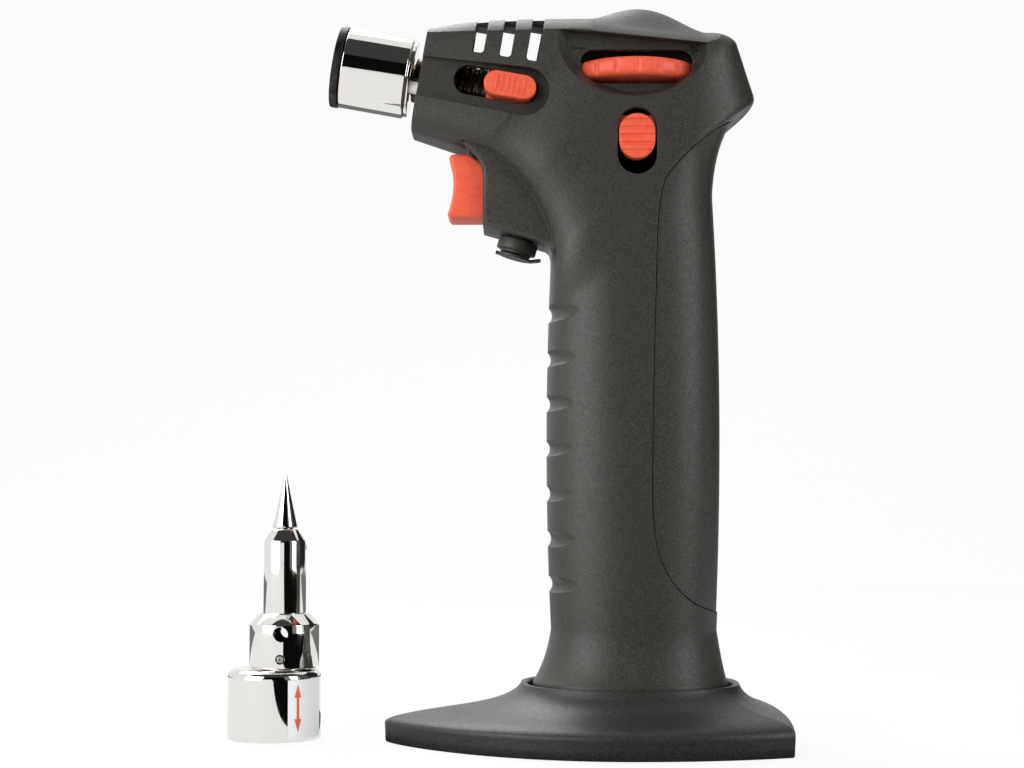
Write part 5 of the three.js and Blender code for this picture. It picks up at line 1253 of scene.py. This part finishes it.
# Trigger
def trigger_outline():
    """Side view: a hollowed front for the finger and a shoulder that slides into the block."""
    middle = (TRIGGER_TOP + TRIGGER_BOTTOM) / 2
    upper = TRIGGER_FRONT_X + TRIGGER_LEAN
    crest = upper + TRIGGER_CORNER + TRIGGER_CREST
    shoulder = bezier((BLOCK_FRONT_X, TRIGGER_ARM_Z + TRIGGER_SLOPE),
                      (BLOCK_FRONT_X - TRIGGER_CREST, TRIGGER_TOP), (crest, TRIGGER_TOP), steps=14)
    hollow = bezier((upper, TRIGGER_TOP - TRIGGER_CORNER), (TRIGGER_FRONT_X + 2 * TRIGGER_HOLLOW, middle),
                    (TRIGGER_FRONT_X, TRIGGER_BOTTOM + TRIGGER_CORNER), steps=24)
    return [(TRIGGER_FRONT_X + TRIGGER_CORNER, TRIGGER_BOTTOM), (TRIGGER_BACK_X, TRIGGER_BOTTOM),
            (TRIGGER_BACK_X, TRIGGER_ARM_Z - TRIGGER_HEEL), *map(tuple, shoulder),
            (upper + TRIGGER_CORNER, TRIGGER_TOP), *map(tuple, hollow)]


def build_trigger():
    half = TRIGGER_HALF_WIDTH
    trigger = slab("trigger_body", trigger_outline(), -half, half, TRIGGER_ROUND, 6)
    arm = block("arm", (BLOCK_FRONT_X, TRIGGER_ARM_Y, TRIGGER_ARM_Z),
                (TRIGGER_ARM_END_X, TRIGGER_ARM_Y + TRIGGER_ARM_WIDTH, TRIGGER_ARM_Z + TRIGGER_ARM_HEIGHT))
    join(trigger, arm)
    settle(trigger, "trigger", "orange_plastic", "trigger", angle=BROAD_ANGLE)


# Spring behind the trigger, a copy of its solid that rides on the trigger
def build_spring():
    spring = copy_of(frame["nodes"]["trigger_spring"], "trigger_coil")
    settle(spring, "trigger", "steel", "trigger_spring", angle=None)
    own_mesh(spring)


# Filler
def build_filler():
    rim = FILLER_LOW - FILLER_RIM
    profile = stepped(FILLER_BORE, rim, FILLER_RIM_RADIUS, FILLER_LOW, FILLER_RADIUS, FILLER_TOP,
                      FILLER_NECK, FILLER_NECK_LENGTH, FILLER_BORE)
    bush = lathe("bush_body", profile, 96, 0.3, FILLER)
    settle(bush, "torch", "black_plastic", "filler_bush")
    lid_top = rim - FIT
    lid = lathe("lid_body", rod(LID_RADIUS, lid_top - LID_THICKNESS, lid_top), 96, 0.2, FILLER)
    hinge_x, hinge_z = LID_HINGE
    arm = [(-LID_RADIUS - LID_LIP, lid_top - LID_THICKNESS), (LID_RADIUS, lid_top - LID_THICKNESS),
           (hinge_x, hinge_z - LID_ARM), (hinge_x, hinge_z), (hinge_x - LID_ARM, hinge_z),
           (LID_RADIUS, lid_top), (-LID_RADIUS - LID_LIP, lid_top)]
    join(lid, slab("arm", arm, -LID_TONGUE, LID_TONGUE, matrix=FILLER))
    settle(lid, "filler_cap", "black_plastic", "filler_cap")


# Screws on the far side, with a cross recess
def build_screws():
    long, short = SCREW_CROSS
    for index, (x, z, seat) in enumerate(SCREW_SPOTS):
        head = seat + FIT
        top = head + SCREW_HEAD_HEIGHT
        profile = stepped(0, -SCREW_BITE, SCREW_RADIUS, head, SCREW_HEAD_RADIUS, top, 0)
        screw = lathe(f"screw_{index + 1}", profile, 48, 0.4, Matrix.Translation((x, 0, z)), "Y")
        for wide, tall in ((long, short), (short, long)):
            cut(screw, block("cross", (x - wide, top - SCREW_CROSS_DEPTH, z - tall),
                             (x + wide, top + 1, z + tall)))
        settle(screw, "torch", "steel", f"housing_screw_{index + 1}")


# Attachment
def build_attachment():
    base = Matrix.Translation((*ATTACHMENT, 0))
    stack = base @ Matrix.Translation((SLEEVE_OFFSET, 0, 0))
    at_exhaust, at_screw, at_side_hole = (stack @ Matrix.Translation((0, 0, z))
                                          for z in (EXHAUST_Z, SET_SCREW_Z, BARREL_HOLE_Z))
    ceiling = SOCKET_HEIGHT - SOCKET_TOP_WALL
    crown = arc((SOCKET_TOP_RADIUS - SOCKET_SHOULDER, SOCKET_HEIGHT - SOCKET_SHOULDER), SOCKET_SHOULDER,
                0, pi / 2, 10)
    profile = [*stepped(0, ceiling, SOCKET_BORE, 0, SOCKET_RADIUS), *crown, (0, SOCKET_HEIGHT)]
    cup = lathe("socket_body", profile, 128, 0.12, base)
    drill(cup, TIP_SLEEVE_SPIGOT + FIT, ceiling - 1, SOCKET_HEIGHT + 1, 64, stack, "Z")
    settle(cup, "attachment", "chrome", "tip_socket")
    low = SOCKET_HEIGHT + FIT
    floor = low + TIP_SLEEVE_WALL
    inner = TIP_SLEEVE_RADIUS - TIP_SLEEVE_WALL
    spigot_inner = TIP_SLEEVE_SPIGOT - TIP_SLEEVE_WALL
    hole = BARREL_RADIUS + FIT
    profile = [*stepped(spigot_inner, ceiling, TIP_SLEEVE_SPIGOT, low, TIP_SLEEVE_RADIUS, TIP_SLEEVE_TOP),
               *stepped(hole + CONE_LIP, TIP_SLEEVE_TOP + CONE_HEIGHT, hole, TIP_SLEEVE_TOP),
               (inner, TIP_SLEEVE_TOP - CONE_ROOT), (inner, floor), (spigot_inner, floor)]
    sleeve = lathe("sleeve_cup", profile, 128, 0.2, stack)
    drill(sleeve, EXHAUST_RADIUS, -FAR / 2, FAR / 2, 48, at_exhaust, "Y")
    drill(sleeve, SET_SCREW_RADIUS + FIT, -FAR / 2, 0, 32, at_screw, "Y")
    settle(sleeve, "attachment", "chrome", "tip_sleeve")
    face = SET_SCREW_SINK - TIP_SLEEVE_RADIUS
    screw = lathe("set_body", rod(SET_SCREW_RADIUS, face, SET_SCREW_REACH - inner), 32, 0.15, at_screw, "Y")
    drill(screw, SET_SCREW_HEX, -FAR / 2, face + SET_SCREW_HEX_DEPTH, 6, at_screw, "Y")
    settle(screw, "attachment", "steel", "set_screw")
    stem_low = BARREL_TOP - TIP_STEM_LENGTH
    profile = [*stepped(0, TIP_SLEEVE_TOP + FIT, BARREL_RADIUS, BARREL_TOP - BARREL_CHAMFER),
               *stepped(BARREL_FACE_RADIUS, BARREL_TOP, TIP_STEM_RADIUS + FIT, stem_low - FIT, 0)]
    barrel = lathe("barrel_body", profile, 128, 0.25, stack)
    drill(barrel, BARREL_HOLE_RADIUS, 0, BARREL_HOLE_REACH, 32, at_side_hole, "X")
    settle(barrel, "attachment", "chrome", "tip_barrel")
    cone = BARREL_TOP + FIT
    profile = [*stepped(0, stem_low, TIP_STEM_RADIUS, cone, TIP_RADIUS, cone + TIP_BAND),
               *stepped(TIP_POINT_RADIUS, TIP_TOP, 0)]
    settle(lathe("tip_body", profile, 96, 0.2, stack), "attachment", "chrome", "soldering_tip")


# Label on the socket: a plain white wrap with a double-headed arrow
def wrapped(name, outline_rows, proud):
    """A thin patch wrapped round the socket, from rows of (angle, height)."""
    count = len(outline_rows[0])
    verts, faces = [], []
    for row in outline_rows:
        for angle, z in row:
            radius = mix(SOCKET_RADIUS, SOCKET_TOP_RADIUS, z / SOCKET_HEIGHT) + proud
            verts.append((ATTACHMENT[0] + radius * cos(angle), ATTACHMENT[1] + radius * sin(angle), z))
    for i in range(len(outline_rows) - 1):
        for j in range(count - 1):
            a = i * count + j
            faces.append((a, a + 1, a + count + 1, a + count))
    return new_object(name, verts, faces)


def build_label():
    angles = np.linspace(LABEL_START, LABEL_END, 40)
    label = wrapped("label", [[(a, z) for a in angles] for z in (LABEL_LOW, LABEL_HIGH)], LABEL_PROUD)
    settle(label, "attachment", None)
    paint(label, plain_finish("label paper", (244, 246, 248), (250, 251, 252), 0.3, 0.4))
    low_head, high_head = ARROW_LOW + ARROW_HEAD, ARROW_HIGH - ARROW_HEAD
    rows = [(ARROW_LOW, ARROW_POINT), (low_head, ARROW_HALF), (low_head, ARROW_STEM),
            (high_head, ARROW_STEM), (high_head, ARROW_HALF), (ARROW_HIGH, ARROW_POINT)]
    outline = [[(ARROW_ANGLE + s * half / SOCKET_RADIUS, z) for s in (-1, -0.5, 0, 0.5, 1)]
               for z, half in rows]
    arrow = wrapped("label_arrow", outline, 2 * LABEL_PROUD)
    settle(arrow, "attachment", None)
    paint(arrow, plain_finish("arrow ink", (232, 92, 52), (240, 104, 64), 0.32, 0.42))


# Minus and plus marks on the floor of the wheel's recess
def build_marks():
    near, far = -MOON_FLOOR - MARK_PROUD, -MOON_FLOOR + MARK_PROUD
    for name, (x, z, cross) in MARKS.items():
        bar = block(name, (x - MARK_HALF_LENGTH, near, z - MARK_HALF_WIDTH),
                    (x + MARK_HALF_LENGTH, far, z + MARK_HALF_WIDTH))
        if cross:
            join(bar, block("upright", (x - MARK_HALF_WIDTH, near, z - MARK_HALF_HEIGHT),
                            (x + MARK_HALF_WIDTH, far, z + MARK_HALF_HEIGHT)))
        settle(bar, "torch", "rubber")


# Materials
def linear(colour):
    """A colour in 0 to 255, as the shader wants it."""
    shares = [value / 255 for value in colour]
    return (*(s / 12.92 if s <= 0.04045 else ((s + 0.055) / 1.055) ** 2.4 for s in shares), 1)


def grey(value):
    return (value, value, value, 1)


class Finish:
    """A material in the making, with the ways its shader's inputs are set."""

    def __init__(self, name):
        self.made = bpy.data.materials.new(name)
        self.made.use_nodes = True
        self.nodes = self.made.node_tree.nodes
        self.links = self.made.node_tree.links
        self.shader = self.nodes["Principled BSDF"]

    def node(self, kind, **values):
        made = self.nodes.new("ShaderNode" + kind)
        for socket, value in values.items():
            made.inputs[socket].default_value = value
        return made

    def set(self, socket, value):
        self.shader.inputs[socket].default_value = value

    def noise(self, scale, detail=2.0, roughness=0.5):
        texture = self.node("TexNoise", Scale=scale, Detail=detail, Roughness=roughness)
        self.links.new(self.node("TexCoord").outputs["Object"], texture.inputs["Vector"])
        return texture.outputs["Fac"]

    def vary(self, socket, value, *stops):
        """Runs an input of the shader through the colours placed along a value."""
        ramp = self.node("ValToRGB")
        elements = ramp.color_ramp.elements
        while len(elements) < len(stops):
            elements.new(0.5)
        for element, (place, colour) in zip(elements, stops):
            element.position = place
            element.color = colour
        self.links.new(value, ramp.inputs["Fac"])
        self.links.new(ramp.outputs["Color"], self.shader.inputs[socket])

    def tint(self, value, *stops):
        self.vary("Base Color", value, *((place, linear(colour)) for place, colour in stops))

    def roughen(self, value, low, high, start=0.3):
        self.vary("Roughness", value, (start, grey(low)), (0.7, grey(high)))

    def relief(self, height, distance, strength, bevel=None):
        """Fine relief, over edges that are eased by the bevel."""
        bump = self.node("Bump", Distance=distance, Strength=strength)
        self.links.new(height, bump.inputs["Height"])
        if bevel:
            edge = self.node("Bevel", Radius=bevel * MM)
            edge.samples = 4
            self.links.new(edge.outputs["Normal"], bump.inputs["Normal"])
        self.links.new(bump.outputs["Normal"], self.shader.inputs["Normal"])

    def surface(self, output):
        self.links.new(output, self.nodes["Material Output"].inputs["Surface"])


def moulded_plastic(name, dark, light):
    """Matt moulding with a fine spark-eroded grain."""
    finish = Finish(name)
    grain = finish.noise(2600, 2.0, 0.6)
    finish.tint(grain, (0.36, dark), (0.62, light))
    finish.roughen(finish.noise(900, 3.0), 0.4, 0.5)
    finish.relief(grain, 0.00012, 0.45, bevel=0.3)
    return finish.made


def orange_plastic():
    finish = Finish("orange plastic")
    finish.tint(finish.noise(700, 3.0), (0.3, (228, 88, 58)), (0.7, (238, 100, 70)))
    finish.roughen(finish.noise(2200), 0.36, 0.46)
    finish.relief(finish.noise(2600), 0.00006, 0.25, bevel=0.25)
    finish.set("Specular IOR Level", 0.35)
    finish.set("Subsurface Weight", 0.08)
    finish.set("Subsurface Radius", (0.002, 0.0008, 0.0005))
    return finish.made


def metal(name, colour, low, high, grain_scale=400, bump_strength=0.05):
    finish = Finish(name)
    finish.set("Base Color", linear(colour))
    finish.set("Metallic", 1)
    grain = finish.noise(grain_scale, 3.0)
    finish.roughen(grain, low, high, start=0.35)
    finish.relief(grain, 0.00004, bump_strength)
    return finish.made


def stained_steel():
    """Steel browned and sooted by the flame."""
    finish = Finish("stained steel")
    finish.tint(finish.noise(500, 5.0), (0.3, (34, 31, 29)), (0.55, (58, 53, 50)), (0.75, (92, 85, 79)))
    finish.set("Metallic", 0.85)
    finish.roughen(finish.noise(800, 3.0), 0.3, 0.55)
    return finish.made


def plain_finish(name, dark, light, low, high, metallic=0.0):
    finish = Finish(name)
    finish.tint(finish.noise(600, 4.0), (0.3, dark), (0.7, light))
    finish.roughen(finish.noise(1200), low, high)
    finish.set("Metallic", metallic)
    return finish.made


FINISHES = {
    "black_plastic": moulded_plastic("black plastic", (37, 36, 32), (58, 56, 51)),
    "stand_plastic": moulded_plastic("stand plastic", (29, 29, 27), (46, 46, 43)),
    "orange_plastic": orange_plastic(),
    "chrome": metal("chrome", (228, 226, 222), 0.03, 0.08),
    "steel": metal("plain steel", (176, 174, 170), 0.25, 0.4, 900, 0.15),
    "stained_steel": stained_steel(),
    "brass": metal("brass", (196, 164, 96), 0.2, 0.35, 700, 0.1),
    "rubber": plain_finish("rubber", (14, 14, 14), (24, 24, 23), 0.7, 0.85),
    "ceramic": plain_finish("ceramic", (236, 232, 222), (247, 244, 238), 0.3, 0.45),
    "smoked_plastic": plain_finish("smoked plastic", (62, 58, 52), (84, 79, 72), 0.2, 0.35),
    "dark_metal": plain_finish("blackened metal", (44, 36, 29), (86, 72, 58), 0.15, 0.3, 0.9),
}


def paint(obj, made):
    obj.data.materials.clear()
    obj.data.materials.append(made)


def settle(obj, body, slot, *nodes, angle=SMOOTH_ANGLE):
    """Smooths a piece, lets it ride on its body, gives it its finish and hides the solids it stands in for.
    """
    if angle:
        smooth(obj, angle)
    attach(obj, body)
    if slot:
        paint(obj, FINISHES[slot])
    if nodes:
        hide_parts(*nodes)


def paint_solids():
    """Gives every solid its slot's finish."""
    slots = {entry["node"]: entry["material_slot"] for entry in frame["record"]["subparts"]}
    for name, obj in frame["nodes"].items():
        paint(obj, FINISHES[slots[name]])


# Studio, in metres; angles run from the camera's side of the object towards the right
AMBIENT = 0.5
FLOOR_SHADE = 0.6
FLOOR_GLOW = 1.05
FLOOR_GLOW_SHARE = 0.86
STUDIO_MIDDLE = Vector((-0.02, 0, 0.08))
SWEEP_REACH = 3.0
SWEEP_BACK = 1.2
SWEEP_HEIGHT = 2.5
SWEEP_CURVE = 0.5
CAMERA_SENSOR = 36
CAMERA_LENS = 63.28
CAMERA_NEAR = 0.01
CAMERA_PLACE = (-0.02693, -0.404, 0.05363)
CAMERA_PITCH = radians(93.687)


def around_object(angle, distance, z):
    turn = radians(angle)
    return (STUDIO_MIDDLE.x + distance * sin(turn), -distance * cos(turn), z)


def softbox(name, place, width, height, power):
    data = bpy.data.lights.new(name, "AREA")
    data.shape = "RECTANGLE"
    data.size = width
    data.size_y = height
    data.energy = power
    lamp = placed(name, data)
    lamp.location = place
    lamp.rotation_euler = (STUDIO_MIDDLE - Vector(place)).to_track_quat("-Z", "Y").to_euler()


def strip(name, rows, made):
    """A staged band between pairs of points."""
    mesh = bpy.data.meshes.new(name)
    faces = [(2 * i, 2 * i + 1, 2 * i + 3, 2 * i + 2) for i in range(len(rows) - 1)]
    mesh.from_pydata([point for row in rows for point in row], [], faces)
    mesh.materials.append(made)
    obj = placed(name, mesh)
    return obj


def card(name, rows, shade):
    """A glowing band that only reflections see."""
    finish = Finish(name)
    finish.surface(finish.node("Emission", Color=grey(shade)).outputs["Emission"])
    obj = strip(name, rows, finish.made)
    obj.visible_camera = False
    obj.visible_diffuse = False
    obj.visible_shadow = False


def curved_card(name, start, end, distance, low, high, shade):
    card(name, [(around_object(a, distance, low), around_object(a, distance, high))
                for a in np.linspace(start, end, 13)], shade)


def level_card(name, x_low, x_high, y_low, y_high, z, shade):
    card(name, [((x_low, y_low, z), (x_high, y_low, z)), ((x_low, y_high, z), (x_high, y_high, z))], shade)


def shown_rays(nodes, links):
    """One for rays that should see the white surroundings: from the camera, in gloss or through glass."""
    path = nodes.new("ShaderNodeLightPath")
    total = path.outputs["Is Camera Ray"]
    for kind in ("Is Glossy Ray", "Is Transmission Ray"):
        add = nodes.new("ShaderNodeMath")
        add.operation = "ADD"
        add.use_clamp = True
        links.new(total, add.inputs[0])
        links.new(path.outputs[kind], add.inputs[1])
        total = add.outputs["Value"]
    return total


def white_sweep():
    """A floor that curves up into a backdrop."""
    turn = SWEEP_BACK - SWEEP_CURVE
    bend = [(turn + SWEEP_CURVE * sin(a), SWEEP_CURVE - SWEEP_CURVE * cos(a))
            for a in np.linspace(0.1, pi / 2, 14)]
    profile = [(-SWEEP_REACH, 0), (turn, 0), *bend, (SWEEP_BACK, SWEEP_HEIGHT)]
    finish = Finish("white sweep")
    finish.set("Base Color", grey(FLOOR_SHADE))
    finish.set("Roughness", 0.7)
    share = finish.node("Math")
    share.operation = "MULTIPLY"
    share.inputs[1].default_value = FLOOR_GLOW_SHARE
    blend = finish.node("MixShader")
    glow = finish.node("Emission", Strength=FLOOR_GLOW)
    for output, socket in ((shown_rays(finish.nodes, finish.links), share.inputs[0]),
                           (share.outputs["Value"], blend.inputs["Fac"]),
                           (finish.shader.outputs["BSDF"], blend.inputs[1]),
                           (glow.outputs["Emission"], blend.inputs[2])):
        finish.links.new(output, socket)
    finish.surface(blend.outputs["Shader"])
    strip("floor", [((-SWEEP_REACH, y, z), (SWEEP_REACH, y, z)) for y, z in profile], finish.made)


def surroundings():
    world = bpy.data.worlds.new("studio")
    scene.world = world
    world.use_nodes = True
    nodes, links = world.node_tree.nodes, world.node_tree.links
    strength = nodes.new("ShaderNodeMapRange")
    strength.inputs["To Min"].default_value = AMBIENT
    links.new(shown_rays(nodes, links), strength.inputs["Value"])
    links.new(strength.outputs["Result"], nodes["Background"].inputs["Strength"])
    nodes["Background"].inputs["Color"].default_value = grey(1)


def studio():
    scene.view_settings.view_transform = "Standard"
    white_sweep()
    surroundings()
    softbox("left softbox", around_object(-50, 0.85, 0.28), 0.7, 0.8, 5.6)
    softbox("right softbox", around_object(56, 0.85, 0.25), 0.3, 0.8, 3.4)
    softbox("top softbox", (-0.3, 0.4, 0.75), 0.7, 0.6, 6)
    curved_card("left wall", -106, -25, 1.0, 0, 0.8, 1.0)
    curved_card("dark front", -25, 30, 0.8, 0.08, 0.6, 0.004)
    curved_card("dark front foot", -3.3, 30, 0.8, 0, 0.08, 0.004)
    curved_card("grey right", 30, 70, 0.95, 0, 0.8, 0.22)
    curved_card("dark right", 72, 150, 0.95, 0, 0.9, 0.02)
    level_card("ceiling", -0.8, 0.8, -1.15, -0.08, 0.75, 0.05)
    level_card("table in front", -0.066, 0.6, -0.95, -0.03, 0.0002, 0.004)
    level_card("table by the stand", -0.066, 0.06, -0.04, 0.05, 0.0002, 0.004)
    level_card("table behind", -0.6, 0.6, 0.15, 1.1, 0.0006, 0.2)


def camera():
    data = bpy.data.cameras.new("camera")
    data.sensor_width = CAMERA_SENSOR
    data.sensor_fit = "HORIZONTAL"
    data.lens = CAMERA_LENS
    data.clip_start = CAMERA_NEAR
    eye = placed("camera", data)
    eye.location = CAMERA_PLACE
    eye.rotation_euler = (CAMERA_PITCH, 0, 0)
    scene.camera = eye


camera()
studio()
paint_solids()
build_stand()
build_casing()
build_burner()
build_air_slider()
build_flow_wheel()
build_ribs()
build_lock()
build_trigger()
build_spring()
build_filler()
build_screws()
build_attachment()
build_label()
build_marks()
